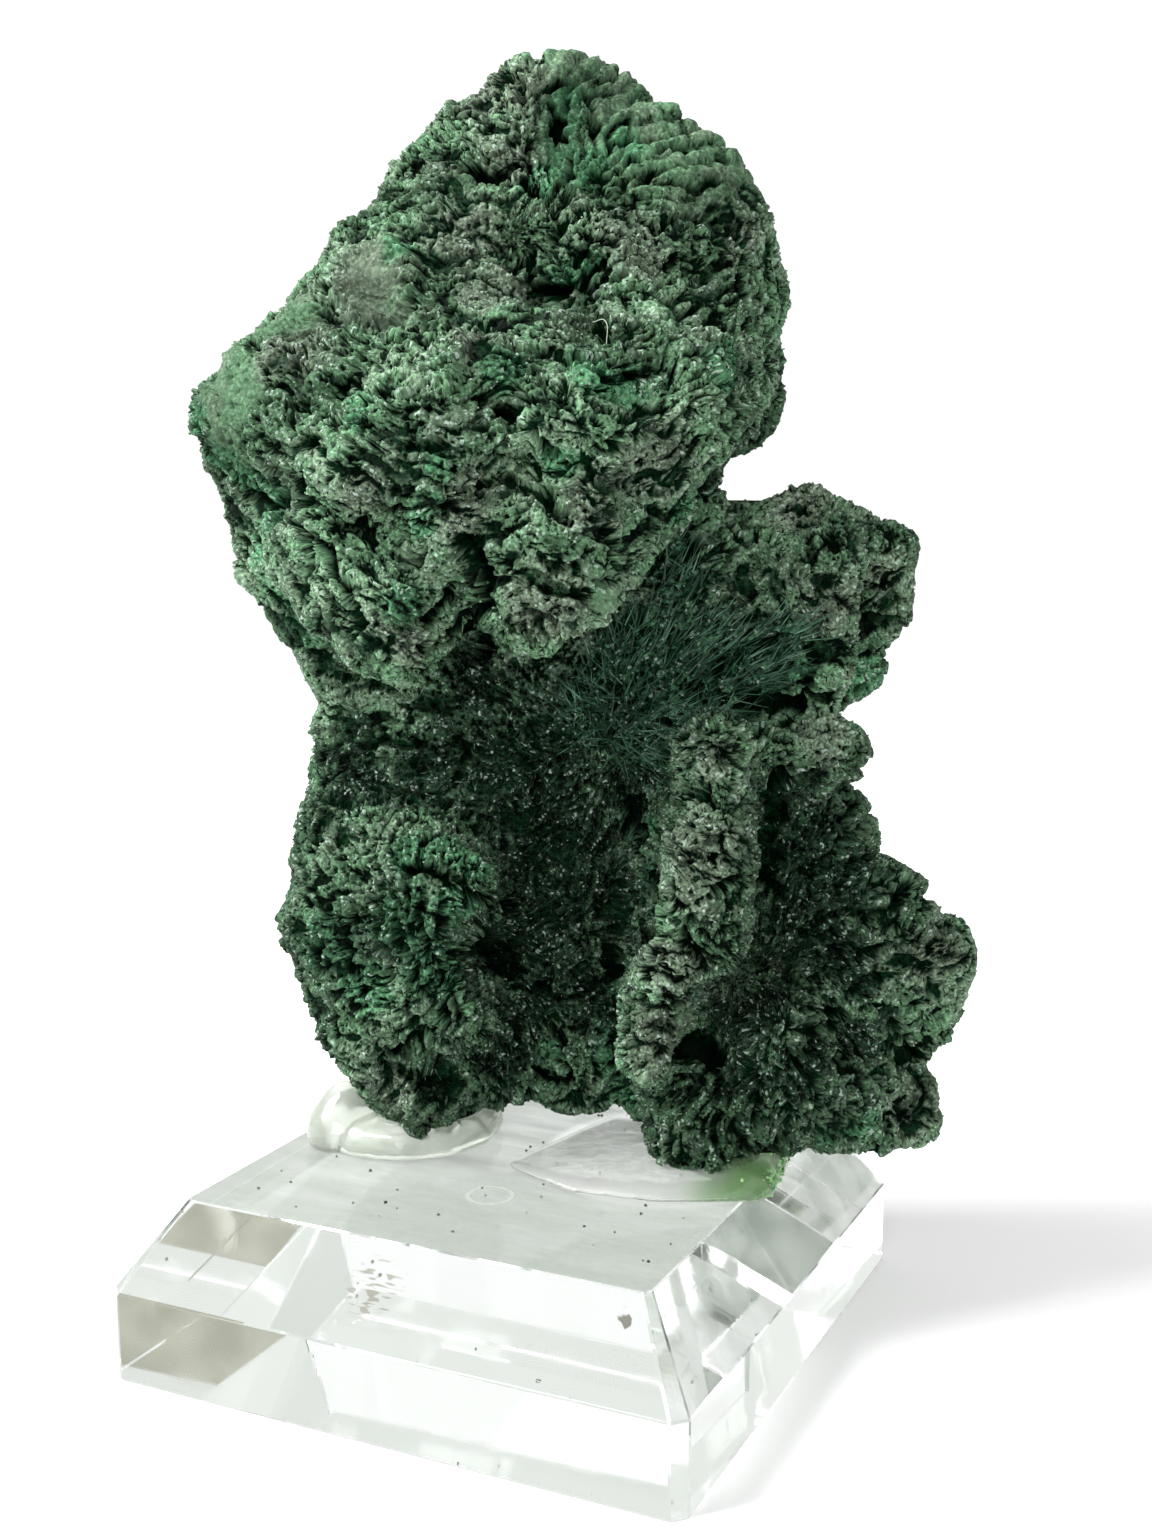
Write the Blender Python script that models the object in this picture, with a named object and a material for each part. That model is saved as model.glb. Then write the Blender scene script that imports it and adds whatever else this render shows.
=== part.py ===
"""Malachite specimen glued upright on a square, bevelled, clear display block.

The block stands on the floor: the origin is the centre of its underside, +X runs along its
front edge, +Y away from the front and +Z up. The stone is laid out in its own upright frame,
in millimetres: u to its right, v away from its face and w up from the floor. That frame is
turned about the block's vertical axis, so the stone faces past the block's front right corner.
"""
import math

import bmesh
import bpy
from mathutils import Matrix, Vector, noise

MM = 0.001

# Display block.
BLOCK_SIDE = 50.0 * MM
BLOCK_WALL = 7.35 * MM
BEVEL_RISE = 6.85 * MM
BEVEL_INSET = 4.6 * MM
CORNER_CUT = 1.1 * MM
HIP_CUT = 0.6 * MM
ARRIS = 0.12 * MM
BLOCK_TOP = BLOCK_WALL + BEVEL_RISE

# How the stone stands, and the gap kept between touching pieces.
STONE_TURN = math.radians(25.5)
GAP = 0.35 * MM

# Grain of the solids.
STONE_VOXEL = 0.9 * MM
STONE_TRIANGLES = 8400
GLUE_VOXEL = 0.55 * MM
GLUE_TRIANGLES = 420
CUTTER_VOXEL = 0.8 * MM
CUTTER_TRIANGLES = 9000
BALL_DETAIL = 3

# The stone's growths. Each is the skin stretched over a few balls (u, v, w, radius), in mm.
HEAD = {
    "upper crown": [
        (0.4, 6.0, 101.6, 4.3), (4.4, 5.5, 101.6, 4.2), (9.0, 5.0, 98.8, 4.0),
        (14.8, 4.0, 94.2, 4.2), (18.0, 3.0, 86.4, 4.2), (-5.0, 5.0, 96.4, 3.8),
        (-12.4, 2.0, 87.8, 4.0), (-19.6, -0.6, 79.8, 3.8), (-8.0, -1.6, 85.0, 4.2),
        (8.0, -1.8, 85.0, 4.2), (2.0, 15.0, 91.5, 6.0), (11.0, 13.0, 84.0, 6.0),
        (-10.0, 13.0, 81.0, 6.0)],
    "crown plate": [(-12.4, -1.2, 88.4, 2.6), (-8.4, -0.4, 91.0, 2.6), (-7.8, -3.0, 86.6, 2.6),
                    (-13.6, -1.6, 86.2, 2.2)],
    "brow": [
        (-21.2, -4.0, 76.2, 4.6), (-17.8, -3.0, 81.6, 3.4), (-9.0, -7.6, 80.4, 4.0),
        (4.0, -8.4, 80.8, 4.0), (13.4, -4.0, 80.6, 4.0), (-9.0, -11.0, 73.0, 5.4),
        (4.0, -12.0, 74.5, 5.4), (12.0, -7.0, 77.0, 4.6), (-18.0, 2.0, 69.5, 4.6),
        (-12.0, 11.0, 69.0, 6.0), (8.0, 13.0, 71.0, 6.0), (16.4, 2.0, 79.0, 4.0)],
    "left jaw": [(-14.8, -7.0, 66.0, 5.0), (-11.5, -9.4, 68.0, 5.8), (-9.4, -12.0, 60.8, 4.7)],
    "middle jaw": [(-4.0, -12.4, 69.6, 4.4), (-4.0, -11.6, 64.4, 4.4)],
    "right jaw": [(2.5, -10.4, 71.0, 6.4), (6.8, -10.4, 69.0, 4.4), (1.8, -12.8, 63.4, 5.0)],
    "right cheek": [(9.4, -9.4, 71.8, 4.0), (13.4, -6.0, 76.8, 4.0), (14.6, -3.6, 81.6, 3.4),
                    (5.6, -10.0, 67.6, 4.4)],
    "back shell": [(18.2, 5.0, 81.0, 3.6), (17.8, 5.0, 76.8, 3.4), (11.0, 5.0, 74.0, 4.0)],
    "left cheek": [(-20.8, -1.0, 72.0, 3.8), (-18.6, 1.0, 64.0, 3.9), (-15.2, 3.0, 57.0, 3.9),
                   (-8.0, 3.0, 62.0, 5.0)],
}
WAIST = {
    "waist": [
        (-12.4, 5.0, 55.0, 4.8), (-12.4, 5.0, 47.0, 5.6), (14.0, 6.0, 60.0, 6.0),
        (15.5, 5.0, 48.0, 6.6), (0.0, 9.0, 64.0, 8.0), (0.0, 10.0, 46.0, 8.0),
        (-8.0, 15.0, 52.0, 7.0), (12.0, 16.0, 56.0, 7.0)],
    "fan root": [(8.0, 4.0, 54.0, 4.0), (15.0, 1.0, 63.0, 4.0), (18.0, 2.0, 54.0, 4.5),
                 (12.0, 2.0, 68.0, 4.0)],
}
RIGHT_FAN = {
    "fan": [
        (20.0, 6.0, 66.0, 3.8), (25.5, 3.0, 66.4, 3.0), (29.0, 6.0, 65.4, 2.8),
        (28.6, 6.0, 60.0, 2.6), (26.0, 5.0, 54.5, 2.8), (20.0, 4.0, 53.0, 4.0),
        (22.0, 14.0, 62.0, 5.0), (22.0, 12.0, 54.0, 5.0)],
    "lit column": [(25.4, -2.6, 66.0, 2.3), (25.2, -1.6, 54.5, 2.1)],
    "inner column": [(20.6, -2.0, 64.4, 2.1), (20.6, -1.4, 56.0, 1.9)],
    "outer lobe": [(30.3, 1.6, 66.6, 2.5), (30.3, 3.0, 60.4, 2.2), (28.8, 5.0, 55.6, 2.0)],
    "top knobs": [(20.4, 1.4, 68.4, 2.0), (24.0, 0.6, 69.0, 1.7)],
}
FOOT = {
    "left bulge": [
        (-13.6, 2.0, 42.0, 5.2), (-14.8, 1.0, 35.4, 5.8), (-13.0, 2.0, 27.4, 5.4),
        (-9.6, 3.0, 20.6, 4.6), (-6.6, -2.6, 38.0, 5.2), (-6.0, -2.6, 30.0, 5.2),
        (-2.6, 2.0, 21.8, 4.4), (-10.0, 14.0, 38.0, 6.0), (-8.0, 13.0, 25.0, 6.0)],
    "left shelf": [(-9.0, -5.4, 39.4, 3.0), (-4.0, -4.4, 39.6, 2.6), (-8.0, -2.0, 38.0, 4.0)],
    "left toe": [(-10.0, 4.0, 19.4, 3.7), (-7.0, 5.0, 19.0, 3.4), (-9.0, 11.0, 20.0, 3.6)],
    "middle": [(2.0, 7.0, 42.0, 7.0), (2.0, 5.0, 27.0, 6.0), (4.4, 2.0, 21.6, 4.2),
               (2.0, 14.0, 30.0, 8.0)],
    "right body": [
        (17.0, 4.0, 44.0, 7.2), (24.2, 3.0, 42.0, 5.6), (25.0, 3.0, 31.0, 7.2),
        (20.0, 3.0, 22.4, 5.4), (12.0, 2.0, 21.0, 4.6), (17.0, 14.0, 42.0, 7.0),
        (19.0, 14.0, 28.0, 7.2)],
    "right toe": [(12.6, -2.2, 18.8, 3.4), (18.0, -3.2, 18.5, 3.2), (24.4, -1.0, 18.6, 3.2),
                  (20.0, 8.0, 19.4, 3.6)],
    "side ledge": [(26.6, -1.6, 49.2, 2.3), (21.4, -4.0, 50.4, 2.5), (22.0, 4.0, 46.0, 4.0)],
    "outer bulge": [(34.0, 0.5, 31.6, 4.3), (33.4, 1.5, 26.8, 4.3), (29.6, 1.0, 37.2, 3.2),
                    (25.0, 5.0, 30.0, 5.0)],
    "outer toe": [(33.2, -0.5, 18.4, 3.3), (28.0, -2.4, 18.4, 3.1), (26.0, 4.0, 23.0, 4.0)],
    "small fans": [(20.0, -5.6, 27.4, 3.2), (23.0, -5.0, 21.6, 3.2), (16.0, -4.4, 21.4, 3.1)],
}
SPINE = {
    "upper spine": [(-6.0, 13.0, 82.0, 6.0), (6.0, 14.0, 82.0, 6.0), (-8.0, 14.0, 62.0, 7.0),
                    (9.0, 15.0, 62.0, 7.0), (0.0, 18.0, 70.0, 6.0)],
    "lower spine": [(-8.0, 14.0, 60.0, 7.0), (12.0, 15.0, 58.0, 7.0), (-7.0, 13.0, 32.0, 7.0),
                    (19.0, 13.0, 34.0, 7.0), (6.0, 18.0, 46.0, 6.0), (6.0, 15.0, 26.0, 7.0)],
}
FINGER = {
    "finger knob": [(15.0, -9.6, 51.2, 2.8), (15.4, -3.0, 49.0, 3.6)],
    "finger": [(14.9, -11.4, 45.0, 3.6), (15.4, -11.8, 36.4, 3.1), (15.2, -3.0, 46.0, 3.4),
               (15.2, -3.0, 37.0, 3.4)],
    "finger crook": [(12.8, -13.6, 41.4, 1.9), (11.8, -12.6, 35.0, 2.2)],
    "finger tip": [(10.8, -12.4, 33.0, 2.6), (10.2, -10.8, 26.6, 2.6), (12.4, -3.0, 30.0, 3.8),
                   (12.4, -3.0, 24.0, 3.6)],
}

# Pits and clefts in the face: a line from (u, w) to (u, w), its half width and its depth, in mm.
CLEFTS = [
    ((5.4, 83.6), (6.2, 82.6), 1.5, 3.0), ((1.0, 89.0), (1.4, 85.6), 1.1, 2.2),
    ((3.2, 99.6), (2.6, 97.0), 0.9, 2.6), ((-13.6, 84.2), (-5.0, 83.4), 1.0, 1.8),
    ((-1.4, 77.2), (-0.4, 76.2), 1.4, 2.4), ((6.0, 77.6), (11.0, 78.4), 0.9, 2.2),
    ((-2.0, 72.0), (4.4, 73.0), 1.5, 2.6), ((-11.4, 67.8), (-8.0, 66.4), 1.2, 2.2),
    ((-4.8, 63.0), (-4.8, 59.0), 1.6, 2.6), ((9.6, 72.6), (8.6, 70.2), 1.1, 2.0),
    ((-17.4, 76.0), (-12.4, 78.0), 0.8, 1.6), ((14.4, 84.6), (16.2, 83.4), 1.1, 2.2),
    ((-3.4, 35.0), (-2.0, 31.4), 2.2, 3.0), ((-10.0, 24.4), (-5.0, 23.0), 1.6, 2.4),
    ((-6.6, 33.4), (-7.4, 28.4), 0.8, 1.8), ((14.2, 26.2), (17.2, 26.0), 1.5, 2.6),
    ((13.4, 44.2), (17.0, 42.6), 0.7, 1.4), ((18.6, 53.4), (23.4, 53.0), 1.0, 2.2),
    ((12.8, 48.4), (17.8, 48.0), 0.6, 1.2), ((2.0, 44.0), (2.0, 36.0), 2.6, 1.8)]

# Fans of ribs: centre (u, w), first and last bearing in degrees from +u, reach and rib step.
RIB_FANS = [
    ((0.5, 91.6), (-14.0, 100.0), 24.0, 11.0), ((18.4, 31.6), (-100.0, 62.0), 22.0, 11.5),
    ((7.2, 51.0), (8.0, 100.0), 24.0, 10.0), ((-2.6, 34.0), (140.0, 255.0), 22.0, 12.0)]
RIB_RISE = 1.9

# Relief of the crust, in mm.
LUMP_SIZE = 4.4
LUMP_RISE = 0.95
LEDGE_STEP = 3.9
LEDGE_RISE = 1.5
PLATE_STEP = 3.4
PLATE_RISE = 1.3
PORE_SIZE = 6.2
PORE_DEPTH = 1.5

# Set adhesive: a round pad under the left toe, a pool and a wedge under the right toe.
PAD_CENTRE = (-10.6, 6.4)
PAD_RING = 6.6
PAD_RING_BALLS = 12
PAD_TUBE = 1.7
PAD_LIFT = 0.9
LEFT_BLOB = [(-16.4, 2.6, 15.6, 2.6), (-15.6, 3.4, 17.4, 2.2)]
POOL = [(-0.4, -3.6, 13.0, 1.9), (4.6, -8.2, 12.4, 2.6), (11.0, -9.8, 12.4, 2.8),
        (17.0, -9.6, 12.6, 2.8), (20.0, 2.0, 12.6, 3.2), (8.0, 4.0, 12.6, 3.2)]
WEDGE = [(18.6, -9.0, 14.6, 1.7), (19.6, -4.0, 15.6, 2.2), (15.0, -4.0, 15.4, 2.0),
         (22.6, 6.0, 15.4, 2.2), (14.0, 5.0, 15.4, 2.4)]

STONE_FRAME = Matrix.Rotation(STONE_TURN, 4, "Z") @ Matrix.Scale(MM, 4)


def empty_scene():
    """Removes every object that a new file holds."""
    for thing in list(bpy.data.objects):
        bpy.data.objects.remove(thing, do_unlink=True)


def surface(name, colour, roughness, transmission=0.0, ior=1.5):
    """One plain finish."""
    material = bpy.data.materials.new(name)
    material.use_nodes = True
    shader = material.node_tree.nodes["Principled BSDF"]
    shader.inputs["Base Color"].default_value = (*colour, 1.0)
    shader.inputs["Roughness"].default_value = roughness
    shader.inputs["Metallic"].default_value = 0.0
    shader.inputs["Transmission Weight"].default_value = transmission
    shader.inputs["IOR"].default_value = ior
    return material


def new_object(name, mesh):
    """Puts a mesh in the scene under a name."""
    thing = bpy.data.objects.new(name, mesh)
    bpy.context.scene.collection.objects.link(thing)
    return thing


def skin(balls):
    """The convex skin around a few balls, as a closed mesh in world metres."""
    growth = bmesh.new()
    for u, v, w, radius in balls:
        place = Matrix.Translation((u, v, w)) @ Matrix.Scale(radius, 4)
        bmesh.ops.create_icosphere(growth, subdivisions=BALL_DETAIL, radius=1.0, matrix=place)
    hull = bmesh.ops.convex_hull(growth, input=growth.verts)
    inner = set(hull["geom_interior"]) | set(hull["geom_unused"])
    bmesh.ops.delete(growth, geom=[v for v in inner if isinstance(v, bmesh.types.BMVert)],
                     context="VERTS")
    shell = set(hull["geom"])
    stray = [face for face in growth.faces if face not in shell]
    bmesh.ops.delete(growth, geom=stray, context="FACES")
    growth.transform(STONE_FRAME)
    bmesh.ops.recalc_face_normals(growth, faces=growth.faces)
    return growth


def heap(name, groups):
    """All the skins of some growths, joined in one mesh but not yet fused."""
    mesh = bpy.data.meshes.new(name)
    whole = bmesh.new()
    for balls in groups:
        part = skin(balls)
        piece = bpy.data.meshes.new("piece")
        part.to_mesh(piece)
        part.free()
        whole.from_mesh(piece)
        bpy.data.meshes.remove(piece)
    whole.to_mesh(mesh)
    whole.free()
    return new_object(name, mesh)


def evaluated(thing):
    """A fresh mesh of what an object's modifiers give; the object goes."""
    seen = thing.evaluated_get(bpy.context.evaluated_depsgraph_get())
    mesh = bpy.data.meshes.new_from_object(seen)
    bpy.data.objects.remove(thing, do_unlink=True)
    return mesh


def fuse(thing, voxel):
    """Adds a modifier that melts overlapping skins into one."""
    remesh = thing.modifiers.new("fuse", "REMESH")
    remesh.mode = "VOXEL"
    remesh.voxel_size = voxel
    remesh.use_smooth_shade = False


def thin(thing, triangles):
    """Adds a modifier that keeps about this many triangles."""
    count = sum(len(face.vertices) - 2 for face in thing.data.polygons)
    decimate = thing.modifiers.new("thin", "DECIMATE")
    decimate.ratio = min(1.0, triangles / count)
    decimate.use_collapse_triangulate = True


def largest_body(mesh):
    """Keeps a mesh's largest connected body and drops the rest."""
    work = bmesh.new()
    work.from_mesh(mesh)
    left = set(work.verts)
    bodies = []
    while left:
        seed = left.pop()
        body = [seed]
        for vert in body:
            for edge in vert.link_edges:
                other = edge.other_vert(vert)
                if other in left:
                    left.discard(other)
                    body.append(other)
        bodies.append(body)
    bodies.sort(key=len)
    stray = [vert for body in bodies[:-1] for vert in body]
    bmesh.ops.delete(work, geom=stray, context="VERTS")
    work.to_mesh(mesh)
    work.free()
    return mesh


def ramp(value, low, high):
    """0 below low, 1 above high, smooth between."""
    share = min(1.0, max(0.0, (value - low) / (high - low)))
    return share * share * (3.0 - 2.0 * share)


def shelf(phase):
    """A shingle's profile over one step: a slow rise, a lip and a sharp gap."""
    share = phase - math.floor(phase)
    return ramp(share, 0.0, 0.55) * (1.0 - ramp(share, 0.86, 1.0))


def cleft_depth(u, w):
    """How deep the pits and clefts cut the face at (u, w)."""
    depth = 0.0
    for start, end, half_width, deepest in CLEFTS:
        line = Vector(end) - Vector(start)
        here = Vector((u, w)) - Vector(start)
        along = min(1.0, max(0.0, here.dot(line) / line.length_squared))
        far = (here - line * along).length / half_width
        depth = max(depth, deepest * (1.0 - ramp(far, 0.4, 1.5)))
    return depth


def rib_share(place, drift):
    """The ribs' height here, from -0.5 to 0.5, and how far they rule the surface."""
    for (centre_u, centre_w), (first, last), reach, step in RIB_FANS:
        off_u = place.x - centre_u
        off_w = place.z - centre_w
        bearing = math.degrees(math.atan2(off_w, off_u))
        if bearing < first - 40.0:
            bearing += 360.0
        far = math.hypot(off_u, off_w)
        inside = ramp(bearing, first, first + 8.0) * (1.0 - ramp(bearing, last - 8.0, last))
        inside *= ramp(far, 1.5, 4.0) * (1.0 - ramp(far, reach - 5.0, reach))
        if inside > 0.0:
            rib = shelf((bearing + 16.0 * drift) / step + 0.05 * far)
            return rib - 0.5, inside
    return 0.0, 0.0


def relief(place, outward):
    """How far the crust stands out of its growth here, in mm, for a place in mm."""
    u, v, w = place
    drift = noise.noise(place / 9.0)
    wander = noise.noise(place / 5.0 + Vector((7.0, 0.0, 3.0)))
    lump = noise.voronoi(place / LUMP_SIZE)[0][0]
    height = LUMP_RISE * (0.55 - min(1.0, 1.9 * lump * lump))
    pore = noise.voronoi(place / PORE_SIZE + Vector((3.3, 1.7, 9.1)))[0][0]
    height -= PORE_DEPTH * (1.0 - ramp(pore, 0.12, 0.34))
    on_face = ramp(-outward.y, -0.2, 0.5)
    ribs, ribbed = rib_share(place, drift)
    height += on_face * ribbed * RIB_RISE * ribs
    on_head = ramp(w, 58.0, 64.0) * (1.0 - ribbed) * (1.0 - ramp(u, 15.0, 18.0))
    ledge = shelf((w + 0.2 * u + 3.4 * drift) / LEDGE_STEP)
    height += on_head * LEDGE_RISE * (ledge - 0.5) * (0.7 + 0.8 * wander)
    on_edge = ramp(w, 66.0, 72.0) * ramp(u, 13.0, 16.0)
    plate = shelf((0.4 * u + v + 2.0 * drift) / PLATE_STEP)
    height += on_edge * PLATE_RISE * (plate - 0.5)
    return height - on_face * cleft_depth(u, w)


def stone_mesh():
    """The stone: growths fused, given their relief and thinned to flat facets."""
    growths = [balls for region in (HEAD, WAIST, RIGHT_FAN, FOOT, SPINE, FINGER)
               for balls in region.values()]
    rough = heap("growths", growths)
    fuse(rough, STONE_VOXEL)
    mesh = largest_body(evaluated(rough))
    to_stone = STONE_FRAME.inverted()
    upright = STONE_FRAME.to_3x3().normalized().transposed()
    normals = [vert.normal.copy() for vert in mesh.vertices]
    rises = [relief(to_stone @ vert.co, upright @ normal)
             for vert, normal in zip(mesh.vertices, normals)]
    for vert, rise, normal in zip(mesh.vertices, rises, normals):
        vert.co += normal * rise * MM
    carved = new_object("carved", mesh)
    fuse(carved, STONE_VOXEL)
    crust = new_object("crust", largest_body(evaluated(carved)))
    thin(crust, STONE_TRIANGLES)
    return largest_body(evaluated(crust))


def stone(finish):
    """The malachite, one natural growth."""
    thing = new_object("malachite", stone_mesh())
    thing.data.materials.append(finish)
    return thing


def block(finish):
    """The clear block: eight walls, eight bevel facets and polished arrises."""
    half = BLOCK_SIDE / 2.0
    levels = [(0.0, half, CORNER_CUT), (BLOCK_WALL, half, CORNER_CUT),
              (BLOCK_TOP, half - BEVEL_INSET, HIP_CUT)]
    shape = bmesh.new()
    rings = []
    for height, reach, cut in levels:
        corners = [(reach, -reach + cut), (reach, reach - cut), (reach - cut, reach),
                   (-reach + cut, reach), (-reach, reach - cut), (-reach, -reach + cut),
                   (-reach + cut, -reach), (reach - cut, -reach)]
        rings.append([shape.verts.new((x, y, height)) for x, y in corners])
    shape.faces.new(reversed(rings[0]))
    shape.faces.new(rings[-1])
    for lower, upper in zip(rings, rings[1:]):
        for index in range(len(lower)):
            after = (index + 1) % len(lower)
            shape.faces.new((lower[index], lower[after], upper[after], upper[index]))
    bmesh.ops.recalc_face_normals(shape, faces=shape.faces)
    mesh = bpy.data.meshes.new("acrylic_base")
    shape.to_mesh(mesh)
    shape.free()
    mesh.materials.append(finish)
    thing = new_object("acrylic_base", mesh)
    arris = thing.modifiers.new("arris", "BEVEL")
    arris.width = ARRIS
    arris.segments = 1
    arris.limit_method = "ANGLE"
    arris.angle_limit = math.radians(20.0)
    return thing


def glue_cutter(malachite):
    """The stone grown by the gap, for hollowing the adhesive around it."""
    cutter = new_object("glue_cutter", malachite.data.copy())
    grow = cutter.modifiers.new("grow", "DISPLACE")
    grow.mid_level = 0.0
    grow.strength = GAP * 1.4
    fuse(cutter, CUTTER_VOXEL)
    grown = new_object("grown_stone", largest_body(evaluated(cutter)))
    thin(grown, CUTTER_TRIANGLES)
    grown = new_object("glue_cutter", evaluated(grown))
    grown.hide_render = True
    grown.display_type = "WIRE"
    return grown


def glue(name, groups, cutter, finish):
    """A bead of adhesive: skins fused, cut flat over the block and hollowed for the stone."""
    bead = heap(name + "_skins", groups)
    fuse(bead, GLUE_VOXEL)
    mesh = largest_body(evaluated(bead))
    lump = new_object(name + "_lump", mesh)
    thin(lump, GLUE_TRIANGLES)
    flat = bmesh.new()
    flat.from_mesh(evaluated(lump))
    floor = BLOCK_TOP + GAP
    cut = bmesh.ops.bisect_plane(flat, geom=flat.verts[:] + flat.edges[:] + flat.faces[:],
                                 plane_co=(0.0, 0.0, floor), plane_no=(0.0, 0.0, 1.0),
                                 clear_inner=True)
    rim = [edge for edge in cut["geom_cut"] if isinstance(edge, bmesh.types.BMEdge)]
    bmesh.ops.edgeloop_fill(flat, edges=rim)
    bmesh.ops.triangulate(flat, faces=flat.faces)
    bmesh.ops.recalc_face_normals(flat, faces=flat.faces)
    solid = bpy.data.meshes.new(name)
    flat.to_mesh(solid)
    flat.free()
    thing = new_object(name + "_solid", solid)
    hollow = thing.modifiers.new("hollow", "BOOLEAN")
    hollow.operation = "DIFFERENCE"
    hollow.solver = "EXACT"
    hollow.object = cutter
    mesh = largest_body(evaluated(thing))
    mesh.materials.clear()
    mesh.materials.append(finish)
    return new_object(name, mesh)


def pad_ring():
    """Balls in a ring, whose skin is the round pad."""
    u, v = PAD_CENTRE
    turn = 2.0 * math.pi / PAD_RING_BALLS
    lift = BLOCK_TOP / MM + PAD_LIFT
    return [(u + PAD_RING * math.cos(turn * step), v + PAD_RING * math.sin(turn * step),
             lift, PAD_TUBE) for step in range(PAD_RING_BALLS)]


def build():
    """Makes the four pieces."""
    empty_scene()
    crust = surface("malachite_crust", (0.045, 0.090, 0.058), 0.85)
    acrylic = surface("clear_acrylic", (0.97, 0.99, 0.98), 0.03, transmission=1.0, ior=1.49)
    adhesive = surface("set_adhesive", (0.90, 0.96, 0.90), 0.25, transmission=0.8, ior=1.5)
    malachite = stone(crust)
    block(acrylic)
    cutter = glue_cutter(malachite)
    glue("glue_left", [pad_ring(), LEFT_BLOB], cutter, adhesive)
    glue("glue_right", [POOL, WEDGE], cutter, adhesive)
    bpy.data.objects.remove(cutter, do_unlink=True)


build()
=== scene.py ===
"""The looks of a malachite specimen on its clear block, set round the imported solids."""
import math

import bpy
import numpy as np
from mathutils import Matrix, Vector


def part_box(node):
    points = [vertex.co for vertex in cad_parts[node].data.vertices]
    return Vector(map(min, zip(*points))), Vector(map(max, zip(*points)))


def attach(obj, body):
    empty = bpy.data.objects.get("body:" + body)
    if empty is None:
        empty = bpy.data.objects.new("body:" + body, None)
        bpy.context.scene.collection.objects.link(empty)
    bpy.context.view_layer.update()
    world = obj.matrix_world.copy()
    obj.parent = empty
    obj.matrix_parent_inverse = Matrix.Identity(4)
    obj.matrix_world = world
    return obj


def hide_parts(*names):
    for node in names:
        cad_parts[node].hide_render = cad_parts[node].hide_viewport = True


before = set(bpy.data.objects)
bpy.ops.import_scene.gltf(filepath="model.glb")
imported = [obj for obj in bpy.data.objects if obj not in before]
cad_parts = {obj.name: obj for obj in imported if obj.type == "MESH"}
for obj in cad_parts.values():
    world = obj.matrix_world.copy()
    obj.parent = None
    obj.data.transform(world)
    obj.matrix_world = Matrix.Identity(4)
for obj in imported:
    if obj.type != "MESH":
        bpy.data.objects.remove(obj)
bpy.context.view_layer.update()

# ---------------------------------------------------------------------------------------
# THE CLEAR BLOCK
# A square block of cast acrylic, sawn and diamond-polished, with wide bevels round its top
# and narrow arrises. It carries the stone. Its solid is right, so it only gets its finish,
# clear and hard with fine scratches, and two very thin closed layers on it: a grey veil on
# the top and the right bevel, partly dust and partly painted shade, and a few marks on the
# front bevel.
# ---------------------------------------------------------------------------------------
ACRYLIC_IOR = 1.49
ACRYLIC_TINT = (0.925, 0.955, 0.935)
DUST_GREY = (0.62, 0.64, 0.61)


def put(tree, kind, inputs=None, **settings):
    """Adds a node with its settings and inputs; an input is a value or another node's output."""
    node = tree.nodes.new(kind)
    for name, value in settings.items():
        setattr(node, name, value)
    for key, value in (inputs or {}).items():
        if isinstance(value, bpy.types.NodeSocket):
            tree.links.new(value, node.inputs[key])
        else:
            node.inputs[key].default_value = value
    return node


def new_finish(name, **values):
    """A material with one Principled shader, set to plain values; gives its tree and shader too."""
    material = bpy.data.materials.new(name)
    material.use_nodes = True
    tree = material.node_tree
    shader = tree.nodes["Principled BSDF"]
    for key, value in values.items():
        value = (*value, 1.0) if isinstance(value, tuple) else value
        shader.inputs[key.replace("_", " ")].default_value = value
    return material, tree, shader


def spread(tree, value, low, high, out_low=0.0, out_high=1.0):
    """Maps a value from one range to another, smoothly and clamped."""
    return put(tree, "ShaderNodeMapRange",
               {"Value": value, "From Min": low, "From Max": high,
                "To Min": out_low, "To Max": out_high}, interpolation_type="SMOOTHSTEP").outputs[0]


def blend_colours(tree, share, first, second):
    """Mixes two colours by a share."""
    mix = put(tree, "ShaderNodeMix", {0: share}, data_type="RGBA")
    for index, colour in ((6, first), (7, second)):
        if isinstance(colour, bpy.types.NodeSocket):
            tree.links.new(colour, mix.inputs[index])
        else:
            mix.inputs[index].default_value = (*colour, 1.0)
    return mix.outputs[2]


def sums(tree, operation, first, second):
    """One sum of two values."""
    return put(tree, "ShaderNodeMath", {0: first, 1: second}, operation=operation).outputs[0]


def times(tree, first, second):
    """One value times another."""
    return sums(tree, "MULTIPLY", first, second)


def plus(tree, first, second):
    """Two values together."""
    return sums(tree, "ADD", first, second)


def minus(tree, first, second):
    """One value less another."""
    return sums(tree, "SUBTRACT", first, second)


def noise(tree, place, scale, detail=2.0, roughness=0.5):
    """The value of a soft noise laid on a place."""
    return put(tree, "ShaderNodeTexNoise", {"Vector": place, "Scale": scale, "Detail": detail,
                                            "Roughness": roughness}).outputs[0]


def dots(tree, place, scale, inner, outer, strength):
    """Dots strewn at random, from their middles' full strength out to nothing."""
    cell = put(tree, "ShaderNodeTexVoronoi", {"Vector": place, "Scale": scale}).outputs["Distance"]
    return spread(tree, cell, inner, outer, strength, 0.0)


def own_place(tree):
    """The place on the piece itself, in metres."""
    return put(tree, "ShaderNodeTexCoord").outputs["Object"]


def stretched(tree, place, scale, turn=(0.0, 0.0, 0.0), shift=(0.0, 0.0, 0.0)):
    """A place scaled, turned and shifted, for a pattern with a run to it."""
    return put(tree, "ShaderNodeMapping", {"Vector": place, "Scale": scale, "Rotation": turn,
                                           "Location": shift}).outputs[0]


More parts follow.
